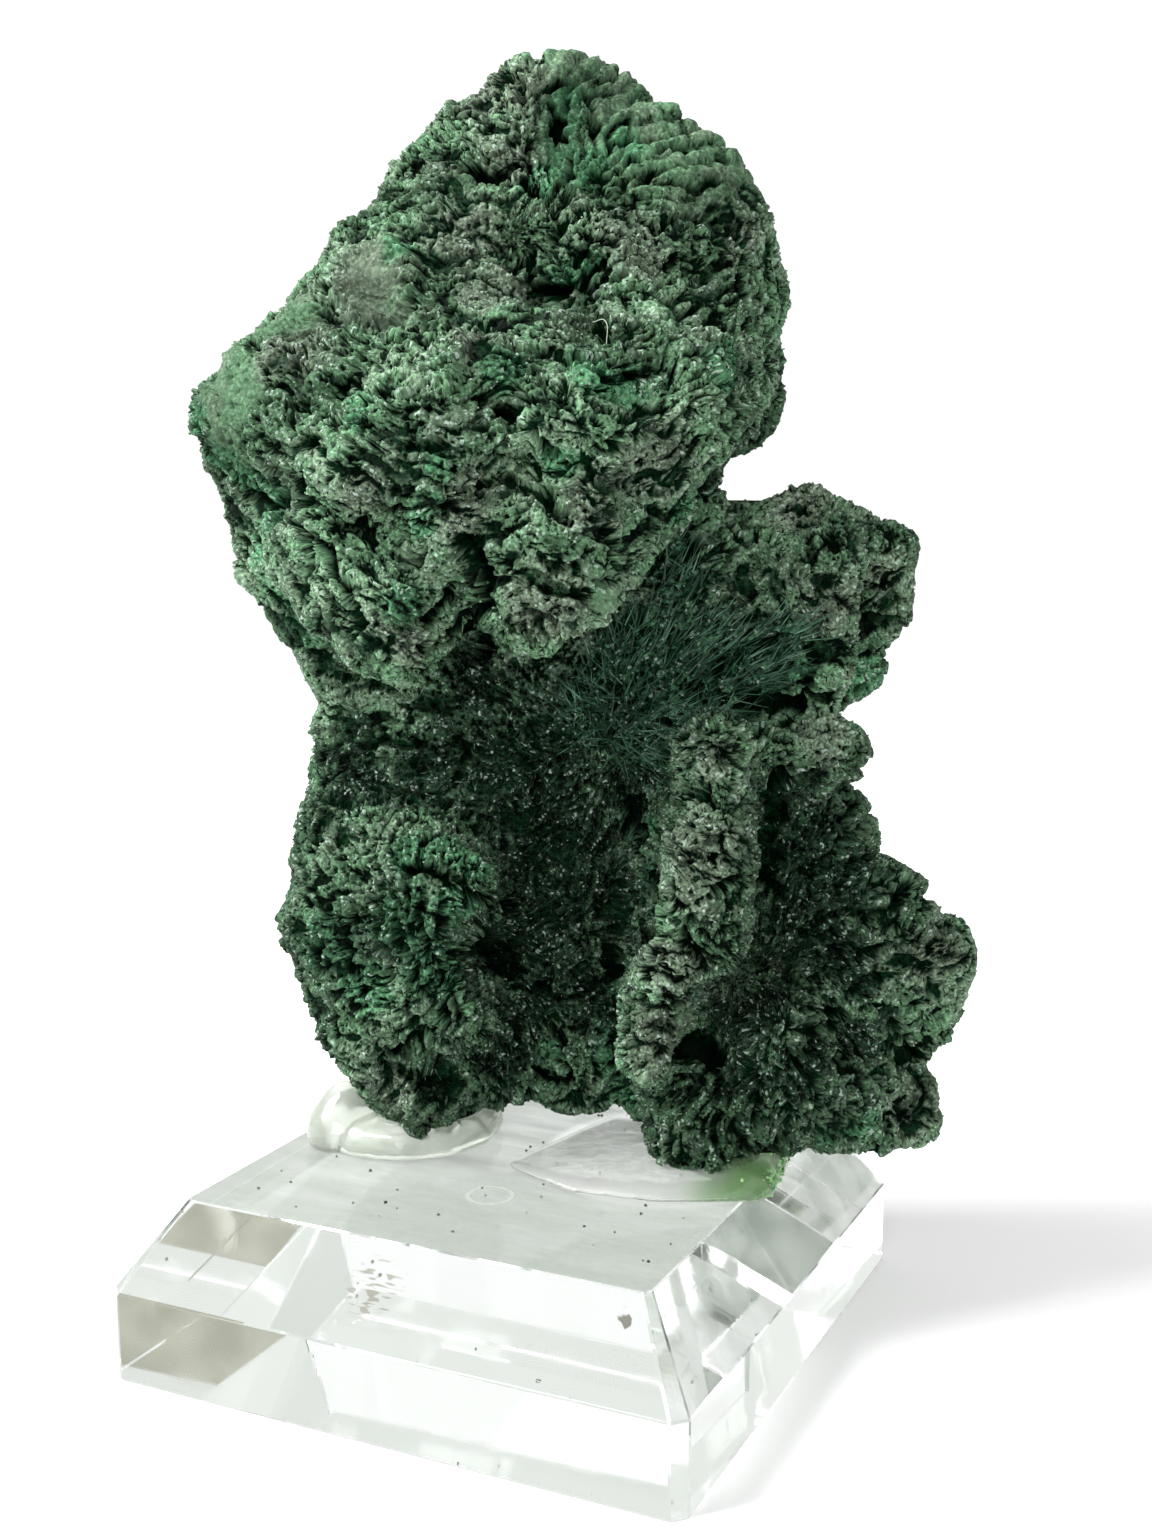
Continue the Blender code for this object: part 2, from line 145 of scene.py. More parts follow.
def far_from(tree, place, middle):
    """How far a place is from a middle."""
    return put(tree, "ShaderNodeVectorMath", {0: place, 1: middle}, operation="DISTANCE").outputs["Value"]


def roughened(tree, shader, height, strength, distance):
    """Gives a finish fine bumps of a height."""
    bump = put(tree, "ShaderNodeBump", {"Strength": strength, "Distance": distance, "Height": height})
    tree.links.new(bump.outputs[0], shader.inputs["Normal"])


acrylic, tree, shader = new_finish("clear_acrylic", Transmission_Weight=1.0, IOR=ACRYLIC_IOR)
here = own_place(tree)
dusty = times(tree, dots(tree, here, 620.0, 0.05, 0.10, 1.0),
              spread(tree, noise(tree, here, 90.0, 3.0), 0.50, 0.66))
tree.links.new(blend_colours(tree, dusty, ACRYLIC_TINT, DUST_GREY), shader.inputs["Base Color"])
haze = spread(tree, noise(tree, here, 140.0, 5.0), 0.42, 0.74, 0.012, 0.075)
tree.links.new(haze, shader.inputs["Roughness"])
strokes = stretched(tree, here, (60.0, 2400.0, 300.0), (0.0, 0.0, 0.6))
roughened(tree, shader, noise(tree, strokes, 1.0), 0.015, 0.0001)
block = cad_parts["acrylic_base"]
block.data.materials.clear()
block.data.materials.append(acrylic)

FILM_LIFT = 0.00001
FILM_THICKNESS = 0.00002
BLOCK_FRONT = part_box("acrylic_base")[0][1]
# A faint ring on the top, and a chip and a smear on the front bevel.
RING_PLACE = (0.0015, -0.0092, 0.0)
RING_RADIUS = 0.0018
CHIP_PLACE = (0.0190, -0.0216, 0.0124)
SMEAR_PLACE = (-0.0013, -0.0225, 0.0112)
# What the veil leaves clear, where the pool of glue lies: scale and shift to a circle.
POOL_SCALE = (91.0, 83.0, 0.0)
POOL_SHIFT = (-1.04, -0.45, 0.0)


def pick(piece):
    """Selects one piece alone and makes it the active one."""
    bpy.ops.object.select_all(action="DESELECT")
    piece.select_set(True)
    bpy.context.view_layer.objects.active = piece


def loose_copy(node, name):
    """A new piece that starts as a copy of a solid, its facets' doubled points merged."""
    piece = bpy.data.objects.new(name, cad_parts[node].data.copy())
    bpy.context.scene.collection.objects.link(piece)
    pick(piece)
    bpy.ops.object.mode_set(mode="EDIT")
    bpy.ops.mesh.select_mode(type="FACE")
    bpy.ops.mesh.select_all(action="SELECT")
    bpy.ops.mesh.remove_doubles(threshold=0.000002)
    bpy.ops.object.mode_set(mode="OBJECT")
    return piece


def shaped_by(piece, kind, **settings):
    """Puts a modifier on a piece and applies it."""
    modifier = piece.modifiers.new(kind.lower(), kind)
    for name, value in settings.items():
        setattr(modifier, name, value)
    bpy.context.view_layer.objects.active = piece
    bpy.ops.object.modifier_apply(modifier=modifier.name)


def thin_layer(name, covered):
    """A very thin closed layer over those faces of the block whose normals pass a test."""
    layer = loose_copy("acrylic_base", name)
    for face in layer.data.polygons:
        face.select = not covered(face.normal)
    bpy.ops.object.mode_set(mode="EDIT")
    bpy.ops.mesh.delete(type="FACE")
    bpy.ops.object.mode_set(mode="OBJECT")
    shaped_by(layer, "DISPLACE", strength=FILM_LIFT, mid_level=0.0)
    shaped_by(layer, "SOLIDIFY", thickness=FILM_THICKNESS, offset=1.0)
    for point in layer.data.vertices:
        point.co.x = min(point.co.x, -BLOCK_FRONT)
        point.co.y = max(point.co.y, BLOCK_FRONT)
    layer.data.materials.clear()
    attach(layer, "root")
    return layer


# The veil on the top and the right bevel: partly dust in wiped streaks, partly painted shade, for the shaded
# floor under the block that shows through these faces.
film = thin_layer("dust_and_shade_film", lambda normal: normal.z > 0.95 or (normal.x > 0.5 and normal.z > 0.3))
film_finish, tree, shader = new_finish("dust_and_shade_film", Roughness=0.5)
here = own_place(tree)
wiped = noise(tree, stretched(tree, here, (90.0, 420.0, 90.0), (0.0, 0.0, 0.5)), 1.0, 4.0)
flat_here = stretched(tree, here, (1.0, 1.0, 0.0))
off_ring = sums(tree, "ABSOLUTE", minus(tree, far_from(tree, flat_here, RING_PLACE), RING_RADIUS), 0.0)
ring = spread(tree, off_ring, 0.0001, 0.0004, 0.35, 0.0)
round_pool = stretched(tree, flat_here, POOL_SCALE, shift=POOL_SHIFT)
off_pool = spread(tree, far_from(tree, round_pool, (0.0, 0.0, 0.0)), 0.95, 1.05)
veil = plus(tree, times(tree, spread(tree, wiped, 0.30, 0.70, 0.10, 0.24), off_pool), ring)
tree.links.new(veil, shader.inputs["Alpha"])
veil_colour = blend_colours(tree, ring, (0.24, 0.28, 0.235), (0.75, 0.78, 0.73))
tree.links.new(veil_colour, shader.inputs["Base Color"])
film.data.materials.append(film_finish)

marks = thin_layer("front_marks", lambda normal: normal.y < -0.5 and normal.z > 0.3)
mark_finish, tree, shader = new_finish("front_marks", Roughness=0.6)
here = own_place(tree)
ragged = noise(tree, here, 1400.0)
from_chip = plus(tree, far_from(tree, here, CHIP_PLACE), times(tree, ragged, 0.0012))
chip = spread(tree, from_chip, 0.0009, 0.0011, 0.9, 0.0)
lines = noise(tree, stretched(tree, here, (900.0, 900.0, 5200.0)), 1.0, 0.0)
smear = times(tree, spread(tree, far_from(tree, here, SMEAR_PLACE), 0.0015, 0.0028, 1.0, 0.0),
              spread(tree, lines, 0.58, 0.66, 0.0, 0.5))
speck = times(tree, dots(tree, here, 560.0, 0.06, 0.11, 0.8),
              spread(tree, noise(tree, here, 150.0), 0.50, 0.58))
tree.links.new(sums(tree, "MAXIMUM", sums(tree, "MAXIMUM", chip, smear), speck), shader.inputs["Alpha"])
tree.links.new(blend_colours(tree, smear, (0.08, 0.08, 0.06), (0.20, 0.18, 0.13)),
               shader.inputs["Base Color"])
marks.data.materials.append(mark_finish)

# ---------------------------------------------------------------------------------------
# THE GLUE
# Two beads of clear hot adhesive, squeezed out under the stone's toes and set: a round pad
# on the left, and a thin pool with a thick wedge on the right. Slightly milky, wet-looking,
# and tinged green where it took up dust of the stone.
# ---------------------------------------------------------------------------------------
GLUE_VOXEL = 0.00032
GLUE_SWELL = 0.00028
ADHESIVE_IOR = 1.46
GREEN_TINGE = (0.36, 0.62, 0.28)


clouds = bpy.data.node_groups.new("adhesive_clouds", "ShaderNodeTree")
for name, kind in (("Milky", "Float"), ("Green", "Float"), ("Roughness", "Float"), ("Normal", "Vector")):
    clouds.interface.new_socket(name, in_out="OUTPUT", socket_type="NodeSocket" + kind)
end = clouds.nodes.new("NodeGroupOutput")
here = own_place(clouds)
cloud = noise(clouds, here, 230.0, 4.0)
along_x = put(clouds, "ShaderNodeSeparateXYZ", {0: here}).outputs[0]
green = times(clouds, spread(clouds, along_x, 0.0150, 0.0205), spread(clouds, cloud, 0.38, 0.60, 0.5, 1.0))
clouds.links.new(spread(clouds, cloud, 0.40, 0.72), end.inputs["Milky"])
clouds.links.new(green, end.inputs["Green"])
clouds.links.new(spread(clouds, cloud, 0.35, 0.75, 0.04, 0.20), end.inputs["Roughness"])
ripple = noise(clouds, here, 420.0)
ripples = put(clouds, "ShaderNodeBump", {"Strength": 0.10, "Distance": 0.0004, "Height": ripple})
clouds.links.new(ripples.outputs[0], end.inputs["Normal"])


def glue_finish(name, clearness, plain, cloudy):
    """Set adhesive: clear to milky in clouds, and tinged green to the right, where dust got in."""
    finish, tree, shader = new_finish(name, Transmission_Weight=clearness, IOR=ADHESIVE_IOR)
    clouded = put(tree, "ShaderNodeGroup", node_tree=clouds).outputs
    colour = blend_colours(tree, clouded["Milky"], plain, cloudy)
    tree.links.new(blend_colours(tree, clouded["Green"], colour, GREEN_TINGE), shader.inputs["Base Color"])
    tree.links.new(clouded["Roughness"], shader.inputs["Roughness"])
    tree.links.new(clouded["Normal"], shader.inputs["Normal"])
    return finish


milky_glue = glue_finish("milky_glue", 0.82, (0.86, 0.90, 0.83), (0.76, 0.81, 0.72))
clear_glue = glue_finish("clear_glue", 0.80, (0.98, 0.99, 0.97), (0.93, 0.96, 0.92))
beads = {}
for node, name, finish in (("glue_left", "glue_pad", milky_glue), ("glue_right", "glue_pool", clear_glue)):
    bead = loose_copy(node, name)
    shaped_by(bead, "DISPLACE", strength=GLUE_SWELL, mid_level=0.0)
    shaped_by(bead, "REMESH", mode="VOXEL", voxel_size=GLUE_VOXEL)
    shaped_by(bead, "SMOOTH", factor=0.5, iterations=6)
    pick(bead)
    bpy.ops.object.shade_smooth()
    bead.data.materials.clear()
    bead.data.materials.append(finish)
    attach(bead, "root")
    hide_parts(node)
    beads[name] = bead

# ---------------------------------------------------------------------------------------
# THE STONE
# One natural growth of fibrous malachite: sprays of dark silky fibres that end in a crumbly,
# porous, grey-green crust, stacked in thin ledges on the head. Its skin is made in one and
# then parted in eight, inside it, so that no piece is too heavy. Its sizes are millimetres in
# its own frame: u to its right, v away from its face, w up.
# ---------------------------------------------------------------------------------------
STONE_TURN = math.radians(25.5)
MM = 0.001
SKIN_VOXEL = 0.00019
RELIEF_SHARE = 0.55
CHIP_TILT = 2.2
HALVES = (0.5, 0.5, 0.5)
WAIST_HEIGHT = 56.0
SPINE_DEPTH = 5.0
HEAD_MIDDLE = 1.2
FOOT_MIDDLE = 9.6
HEAD_FOOT = 61.0
SHELL_SIDE = 16.5
SOFT_EDGE = 0.0008
# The centres that the fibres radiate from, and how far each spray reaches.
SPRAYS = [((0.5, 6.0, 91.6), 30.0), ((7.6, 6.0, 49.5), 24.0), ((18.4, 6.0, 31.6), 22.0),
          ((-2.6, 7.0, 34.0), 20.0)]
# Fans of ribs: centre (u, w), first and last bearing from +u, reach, bearing of one rib, height.
RIB_FANS = [((0.5, 91.6), (6.0, 88.0), 22.0, 6.5, 0.8), ((18.4, 31.6), (-100.0, 62.0), 19.0, 13.0, 1.2),
            ((7.2, 51.0), (8.0, 100.0), 24.0, 6.5, 0.45), ((-2.6, 34.0), (140.0, 262.0), 19.0, 7.5, 0.35),
            ((15.0, 44.0), (60.0, 100.0), 24.0, 5.0, 0.4)]
# Where the form swells or draws in a little: place, reach and push.
NUDGES = [((-0.5, 2.0, 103.5), 3.5, (0.0, 0.0, 1.1)), ((1.4, 1.4, 105.0), 1.7, (0.0, 0.0, -1.3)),
          ((24.0, 2.0, 68.0), 7.0, (0.0, 0.0, 0.8)),
          ((15.5, 1.0, 70.5), 3.5, (1.6, 0.0, -0.3)), ((14.0, -5.0, 17.5), 7.0, (0.0, -2.6, -1.2)),
          ((-9.0, -2.0, 18.0), 6.0, (0.0, -1.2, -0.9)), ((33.5, -3.0, 24.5), 4.0, (0.9, 0.0, 0.0)),
          ((-17.0, 2.0, 47.0), 7.0, (-1.1, 0.0, 0.0)), ((-27.0, -4.0, 77.0), 4.0, (-0.6, 0.0, 0.0))]
# Plates of crust that stand proud: centre, reach and height.
PLATES = [(-10.9, -4.8, 86.8, 4.0, 0.9), (-6.0, -12.6, 80.4, 3.0, 0.6), (14.6, -8.0, 80.5, 2.6, 0.6),
          (7.8, -14.0, 62.6, 3.0, 0.5), (-9.0, -14.5, 61.8, 2.6, 0.4), (13.4, -14.2, 40.8, 2.0, 0.6)]
# Gaps in the crust: width, depth, and the line that each follows.
GAPS = [
    (0.9, 3, (2.8, 0.5, 100.6), (2.9, 0.8, 99.3), (2.9, 0.3, 97.8)),
    (0.7, 1.6, (1.2, -1.5, 97.6), (1, -2.4, 95.8)), (0.9, 1.6, (2.4, 0.8, 102.3), (4.2, 1, 102.6)),
    (0.8, 1.4, (-2.9, 3.4, 102.9), (-0.3, 1.8, 103.1), (1.6, 0.4, 101)),
    (0.7, 1.2, (-0.9, 0.5, 100.7), (1.7, 0.4, 100.9)),
    (1, 1.6, (-4.9, -1.1, 95.5), (-2.9, -2, 94.9), (-0.7, -2.1, 95), (0.8, -2.5, 94.2), (1.8, -2.8, 93.4)),
    (0.9, 1.5, (1.8, -3.2, 92.9), (4.4, -2.1, 95.8), (7.7, -0.8, 98), (9, -0.2, 99.6)),
    (0.9, 1.5, (2.6, -3.7, 92.2), (5.4, -2.5, 94.8), (9.7, -1.5, 96.7), (13.4, -0, 97.9)),
    (0.9, 1.4, (2.4, -4.3, 90.1), (3.9, -3.1, 93), (6, -2.9, 94.1), (10.6, -2.6, 94.9), (15.3, -1.4, 94.8)),
    (0.8, 1.3, (4.4, -4.7, 88.5), (7.6, -5, 89.4), (11.6, -3.1, 91.5), (15.3, -1.4, 92.7)),
    (0.8, 1.4, (5.2, -1.1, 98.8), (6.1, 0.3, 100.7), (6.2, 0.9, 101.7)),
    (0.7, 2.2, (1.2, -3.3, 89.1), (1.3, -4.4, 86.1)),
    (1.2, 2.4, (1.7, -4.3, 86.2), (3.4, -5.7, 86.3), (5.7, -5.3, 86.9)),
    (0.8, 1.4, (5.7, -5.3, 86.9), (8.3, -5.4, 87.1), (10.9, -4.6, 86.8)),
    (1.5, 4, (6.2, -8.7, 83), (6.5, -9.5, 82.2)),
    (1, 1.8, (11.2, -7.9, 83.9), (12.5, -7.9, 83.6), (14, -4.4, 84.4)),
    (1.1, 2.2, (15.7, -4.5, 82.9), (16.9, -5.5, 82.3), (18, -2.6, 82.9)),
    (0.8, 1.4, (9.9, -4.9, 87.3), (10.7, -4.6, 86.9)), (0.9, 1.4, (13.5, -3.1, 91.2), (13.9, -3.3, 90.2)),
    (1.2, 2, (-14.9, -3.7, 86.1), (-14.3, -5.1, 84.4), (-12.4, -6.7, 83.3), (-9.3, -12.2, 82.3),
     (-6.2, -12.5, 81.6)),
    (0.8, 1.4, (-6.2, -12.5, 81.6), (-3.8, -10.8, 82.6), (-1.6, -11.3, 82.9), (-0.2, -11.3, 83.1)),
    (0.8, 1.3, (-0.2, -12.7, 81.5), (2.5, -13.1, 80.7), (5.3, -13.6, 80.2), (7.5, -12.9, 80.2)),
    (1, 1.5, (-13.5, -9.8, 81.3), (-12.6, -10.7, 80.5), (-11.4, -11.5, 80)),
    (1, 1.5, (-16.4, -9.9, 80.1), (-15.8, -10.8, 79.2)),
    (1.2, 2.0, (0.5, -14.8, 77.3), (-0.1, -14.5, 76.4), (-1, -13.9, 76.4)),
    (0.8, 1.8, (5.1, -16.1, 76.9), (7.1, -15.7, 76.4), (9, -14.3, 76.4), (10.6, -12.3, 77)),
    (0.6, 1.1, (5.9, -14.5, 79), (8.7, -12.3, 78.5), (11.3, -11.4, 79.1)),
    (0.7, 1.2, (1.9, -13.7, 79), (4.4, -16, 77.8), (7.5, -13, 77.5)),
    (0.8, 1.6, (5.6, -17.2, 74.5), (7.7, -15.4, 73.5), (9.8, -12.8, 72.6)),
    (1, 1.8, (1.4, -17.3, 75), (2.1, -16, 74), (3.3, -15.5, 73.3)),
    (0.8, 1.3, (-8.4, -16.3, 73.2), (-6.6, -16.4, 74.1), (-4.9, -16.6, 74.1)),
    (0.6, 1.1, (-19.4, -9.8, 77.7), (-15.4, -11.6, 76.7), (-11.9, -14.7, 75.8)),
    (0.6, 1.1, (-12.5, -11.5, 79.2), (-9, -15.3, 77.5), (-5.9, -16.3, 76.5)),
    (0.6, 1.1, (-15.1, -13.7, 74.8), (-11.8, -15.5, 74.5), (-9, -16.2, 73.4)),
    (0.6, 1, (-5.3, -16, 77.1), (-2.9, -16.1, 75.9), (-0.5, -15.7, 75.2)),
    (1.1, 1.6, (-16.2, -13.2, 74.8), (-15.4, -13.5, 74.1)),
    (1.2, 2.2, (-16, -12.6, 71), (-15.7, -12.5, 70.2), (-16.5, -11.9, 69.3)),
    (0.9, 1.8, (-10.9, -14.3, 68.5), (-8.9, -15.2, 69.1), (-7.9, -15.9, 70.2)),
    (0.8, 1.4, (-6, -16.8, 71.1), (-4.8, -16.7, 69.9), (-6.7, -15.5, 68.1)),
    (1.2, 2.4, (-7.8, -13.8, 66.4), (-7.7, -13.9, 65.8)),
    (1.1, 2, (-14, -14.3, 65.8), (-13.5, -14.7, 65.4)),
    (1.4, 2.0, (-0.6, -14.6, 71.4), (1, -15.5, 70.8), (2.8, -16.1, 70), (3.6, -16.9, 68.8)),
    (1.1, 2, (6.8, -16.1, 67.9), (7.5, -15.8, 66.4), (7.6, -15.7, 64.9), (8.5, -13.3, 64.5)),
    (0.9, 1.6, (2.1, -17, 65.3), (3.9, -17.3, 65.9), (5.7, -16.9, 65.7)),
    (2, 3.4, (-3.9, -16.1, 67.2), (-3, -15.7, 64.9), (-2.4, -16, 62.6), (-3.6, -11.9, 60.4),
     (-3.2, 0.4, 57.6)),
    (1.3, 2.2, (-5.7, -13.5, 62.7), (-6.6, -13.6, 61.3), (-7, -14.3, 59.4)),
    (1.1, 1.8, (-14.8, -13.9, 67.4), (-14, -14.6, 65.3), (-12.3, -15.9, 63.8), (-12.1, -15.3, 60.7)),
    (1.2, 1.8, (-22.2, -4, 70), (-19.5, -7, 69.4), (-17.5, -8.2, 70.7)),
    (0.8, 1.3, (-19.6, -8.8, 72.7), (-17.7, -8.2, 70.2), (-15.3, -13.6, 67.4), (-15.6, -12.3, 64.3)),
    (0.9, 1.8, (18.3, -2.4, 82.9), (18.3, -5, 79.8), (16.9, -8.1, 76.8), (16.6, -7.9, 74.7)),
    (0.8, 1.4, (16.5, -1.6, 92.8), (17.1, -2.1, 90), (17.6, -2.4, 87.4), (18.5, -2.2, 84.9)),
    (0.8, 1.4, (19.8, -0.4, 86.7), (19.7, -0.2, 83.7), (20.2, 0.8, 81.2)),
    (1.3, 2.2, (13.5, -2.9, 66.8), (14.1, -3.4, 65.3), (12.9, -3.2, 65.4)),
    (2.8, 3.6, (-2.6, -2.7, 33.8), (-1.7, -1.2, 32)),
    (1.9, 3.2, (-10.6, -3.1, 24.5), (-8.1, -6.7, 26.3), (-5.2, -5.9, 25.8)),
    (1.2, 2, (1.6, -1.2, 29.5), (1.9, -1.3, 28.8)), (1.4, 2.4, (7.1, 0.6, 32.9), (7.4, 0.8, 31.2)),
    (1.4, 2.2, (9.6, -0.1, 45), (9.1, 1, 42.6), (9.6, 0.8, 41.8)),
    (1.3, 2.4, (10.7, -13, 38.8), (11.2, -13.4, 36.4), (9.7, -13.2, 34.5)),
    (1.1, 2, (12.7, -14.6, 38.2), (13.3, -14.3, 36.3), (14.5, -14.4, 34.8)),
    (0.8, 1.6, (12.8, -14.7, 42.8), (14.1, -14.9, 41.9), (15.9, -14.4, 41.1)),
    (0.7, 1.1, (13.6, -13.9, 45.9), (15.7, -14.9, 45.6), (16.4, -14.8, 44.5)),
    (0.9, 1.5, (12.6, -8.9, 47.5), (14.6, -12.1, 47.8), (16.9, -10.8, 48.5)),
    (2.4, 3.2, (13.5, -5.7, 25.8), (15.3, -5.5, 25.3)),
    (1.6, 3, (18.3, -1.9, 54), (20.6, -1.2, 53.7), (22.6, -1.6, 53.6)),
    (2, 2.6, (19.4, -4.3, 51.7), (20.4, -3.8, 47.4), (20.8, -3.2, 42.6), (20.4, -3.6, 39.1)),
    (0.9, 1.6, (21.4, -4.5, 35), (24.9, -4.4, 36.1), (29.3, -3.2, 36.6), (32.2, -2.4, 38.4)),
    (0.9, 1.6, (21.9, -3.9, 31.6), (26.1, -4.3, 32.1), (30.1, -3.6, 33.9)),
    (1.2, 2.2, (22.7, -7.5, 28.7), (25.3, -4.3, 26.7), (26.5, -3.7, 27.5)),
    (0.8, 1.5, (27.4, -2.3, 24.7), (29.7, -3.3, 22.1), (30.4, -4, 20.7)),
    (0.8, 1.5, (21.1, -8.9, 26.7), (21.9, -8.5, 23.5), (22.8, -8, 20.5)),
    (0.8, 1.4, (18.6, -7.4, 25.5), (19.1, -8.3, 22.6), (19, -7.6, 19.5)),
    (0.8, 1.4, (16.6, -6.3, 24.3), (16.1, -7.2, 21.4), (15.6, -6.6, 18.4)),
    (0.9, 1.6, (33.9, -1.5, 23.1), (32.2, -2.2, 24.2), (30.5, -2.5, 26.3)),
    (0.8, 1.3, (23.8, -8, 26.4), (24.3, -7.7, 22.8), (25.7, -6.7, 19.6)),
    (1.0, 1.5, (-9.5, -8, 39), (-9.6, -7.4, 35), (-8.5, -7.5, 31.1), (-5.9, -7.7, 28.2)),
    (1.0, 1.5, (-8, -8, 38.2), (-7.6, -8.1, 34.7), (-6.4, -7.1, 31.4), (-4.9, -7.9, 28.8)),
    (1.0, 1.4, (-11.3, -7.1, 38), (-11.5, -6.8, 34.4), (-10.7, -6.3, 30.3), (-8.6, -7.3, 27.9)),
    (0.9, 1.3, (-6, -7.6, 38.1), (-5.8, -7.2, 34.5), (-5.1, -6.7, 31.6)),
    (0.9, 1.2, (-13.5, -5.8, 37.7), (-14, -5.8, 33.8), (-13.1, -5.6, 29.8)),
    (0.8, 1.1, (-15.9, -4.8, 37.5), (-16.5, -4.5, 33.4), (-15.4, -4.6, 29.5)),
    (1.2, 2.2, (-9.1, -7.3, 41.2), (-5.7, -7.3, 39.9), (-3.1, -6.8, 38.7), (-0.6, 1, 36.1)),
    (1.1, 2, (-4.1, -2.5, 23.9), (-1.9, -2.6, 21.5), (-1.7, -0.6, 18.5)),
    (0.9, 1.6, (2.7, -1.3, 26.9), (3.2, -1.2, 24), (2.9, -1.4, 21.5)),
    (0.9, 1.5, (-12.1, -3.6, 23.5), (-9, -3.6, 22.1), (-5.5, -2.3, 21.8)),
    (0.8, 1.4, (0, -1.5, 24.5), (0.6, -0.8, 21.3), (-0.1, 0.6, 18.8)),
    (0.7, 1.4, (8, -11, 29), (7.6, -0.8, 22.6), (8.9, 0.1, 18.1)),
    (0.6, 1.1, (7, -0.1, 28.1), (6.5, -1.5, 24.9), (5.6, -1.6, 21.6)),
    (1, 1.6, (-6.1, -0.2, 50.8), (-4.5, -0.4, 49.3), (-4.9, -0.5, 47.3)),
    (0.9, 1.4, (-11.9, -0.5, 49.7), (-9.6, -0.2, 50.8), (-7.6, -0.7, 49.7)),
    (0.9, 1.4, (0.2, -1, 48.9), (1.7, -0.5, 46.9), (1.3, 2.1, 44)),
    (0.9, 1.4, (-15.9, -0.8, 45.8), (-12.7, -1.9, 45.2), (-10, -1, 45.8)),
    (0.8, 1.5, (15.4, -2.8, 57.7), (16.1, -3.1, 54.6), (15.5, -3.4, 53.1)),
    (0.7, 1.2, (22.8, -2.8, 58), (23.2, -3.2, 55.4))]
# Spots of the skin: centre and reach. Bright green, brown, smooth, and bare fibre.
BRIGHT_SPOTS = [
    (4.2, 0.6, 101, 1.8), (3.9, 0.3, 99.1, 1.6), (3.2, -0.9, 96.8, 1.5), (2.3, -2.1, 95.2, 1.4),
    (3.4, -5.5, 87.6, 1.7), (5, -4.9, 87.8, 1.3), (-7.5, -15.4, 68.7, 1.3), (-7.9, -16.7, 62.5, 2),
    (-6.3, -16.4, 70.2, 1), (-19.1, -7.3, 69.5, 2.4), (-20.9, -6.3, 71.5, 1.8), (-18.7, -2.7, 62.4, 2.2),
    (-18, -1.4, 59.6, 2), (-20.8, -2.9, 66.5, 1.6), (15.5, -9.2, 79.6, 1.7), (16.1, -8.9, 81, 1.4),
    (-0.9, -13.8, 79.8, 2.2), (5.9, -14.2, 79.4, 2.4), (8.7, -12.3, 78.8, 2), (-9.3, -4.7, 88.7, 1.5),
    (11.4, -2.4, 66.1, 2.4), (12.9, -11.8, 69.2, 1.6), (1.8, -2.4, 94.2, 1.6), (5.4, -2.5, 95.7, 2),
    (8.4, -0.8, 97.9, 1.8), (-11.3, -14.6, 76.6, 1.6), (-5.9, -17.1, 72.6, 1.4), (3.4, -15.4, 72.9, 1.6),
    (-25, -6.4, 76.3, 2), (-23.1, -6.3, 72.8, 2), (-8.4, -6.4, 42.1, 2), (-5.3, -5.3, 42.3, 2),
    (-3.1, -6.2, 41.5, 1.4), (-9.5, -7.8, 36.6, 3.2), (-7, -7.3, 32.6, 3), (-4.6, -7.2, 38, 2.2),
    (-15.7, -4.5, 34.2, 2.6), (-12.5, -5.5, 30.5, 2.4), (10.6, -0.2, 42.8, 1.3), (10.2, 0.5, 38.6, 1.3),
    (8, 0.3, 29.7, 1.7), (7.3, -0.4, 26.6, 1.8), (6.8, -1.2, 23.5, 1.8), (8.2, -0.9, 20.1, 1.8),
    (1.8, -0.7, 23.8, 1.2), (29.2, 1.8, 44.8, 1.4), (28.3, -5.9, 18.7, 1.6), (25.4, -5.9, 18.1, 1.4),
    (-17.5, 3.6, 51.9, 1.8), (-17.4, 3.9, 46.3, 1.6), (29.1, 3, 54.7, 2.4), (27.2, -1.4, 51.6, 1.4),
    (22.8, -2.8, 57.3, 2.2)]
BROWN_SPOTS = [
    (-11.3, -4.6, 86.6, 4), (-1.2, -1.9, 96.2, 2.6), (-4.1, -3.9, 90.8, 3.2), (-1.6, -6.5, 85.8, 2.6),
    (-2.4, -13.1, 80.9, 2.2), (-2.4, 2.8, 102.1, 3), (0.7, 1.2, 102.1, 2.6), (-3.9, -16.5, 69.9, 3),
    (5.9, -16.9, 69.9, 3), (2.5, -17.6, 62.4, 3.6), (-8, -16, 60.1, 3), (10.3, -13, 72.9, 3.2),
    (-17.6, -9, 81.2, 3), (8.9, -4.5, 89.7, 3.2), (-11.3, -15.1, 70.5, 2.4), (17.3, -2.1, 90, 2.2),
    (13.8, -14.3, 44.4, 3.6), (13.7, -14.8, 40.5, 2.2), (11.3, -14.3, 34.4, 3), (10.8, -13.4, 28.2, 3.2),
    (14.9, -12.1, 50.9, 2.2), (24.2, -4.4, 51.3, 3), (34.3, -4.3, 32.5, 3.4), (33.1, -4.1, 19.5, 2.8),
    (-11.1, -2.2, 20.6, 3.2), (21.9, -0.5, 69.3, 3), (29.8, -0.1, 64.3, 2.4), (24.7, -4.2, 62.1, 3)]
SMOOTH_SPOTS = [
    (4.2, 0.6, 101, 1.5), (3.9, 0.3, 99.1, 1.5), (3.2, -0.9, 96.8, 1.4), (2.3, -2.1, 95.2, 1.3),
    (-11.3, -4.6, 86.6, 3.6), (-18.2, -4.6, 84.1, 3), (-19.8, -5.8, 82.7, 2.2), (-22.9, -8.3, 77.8, 3.6),
    (-23.6, -7.9, 74.7, 3), (6.8, -15.5, 63.5, 2.0)]
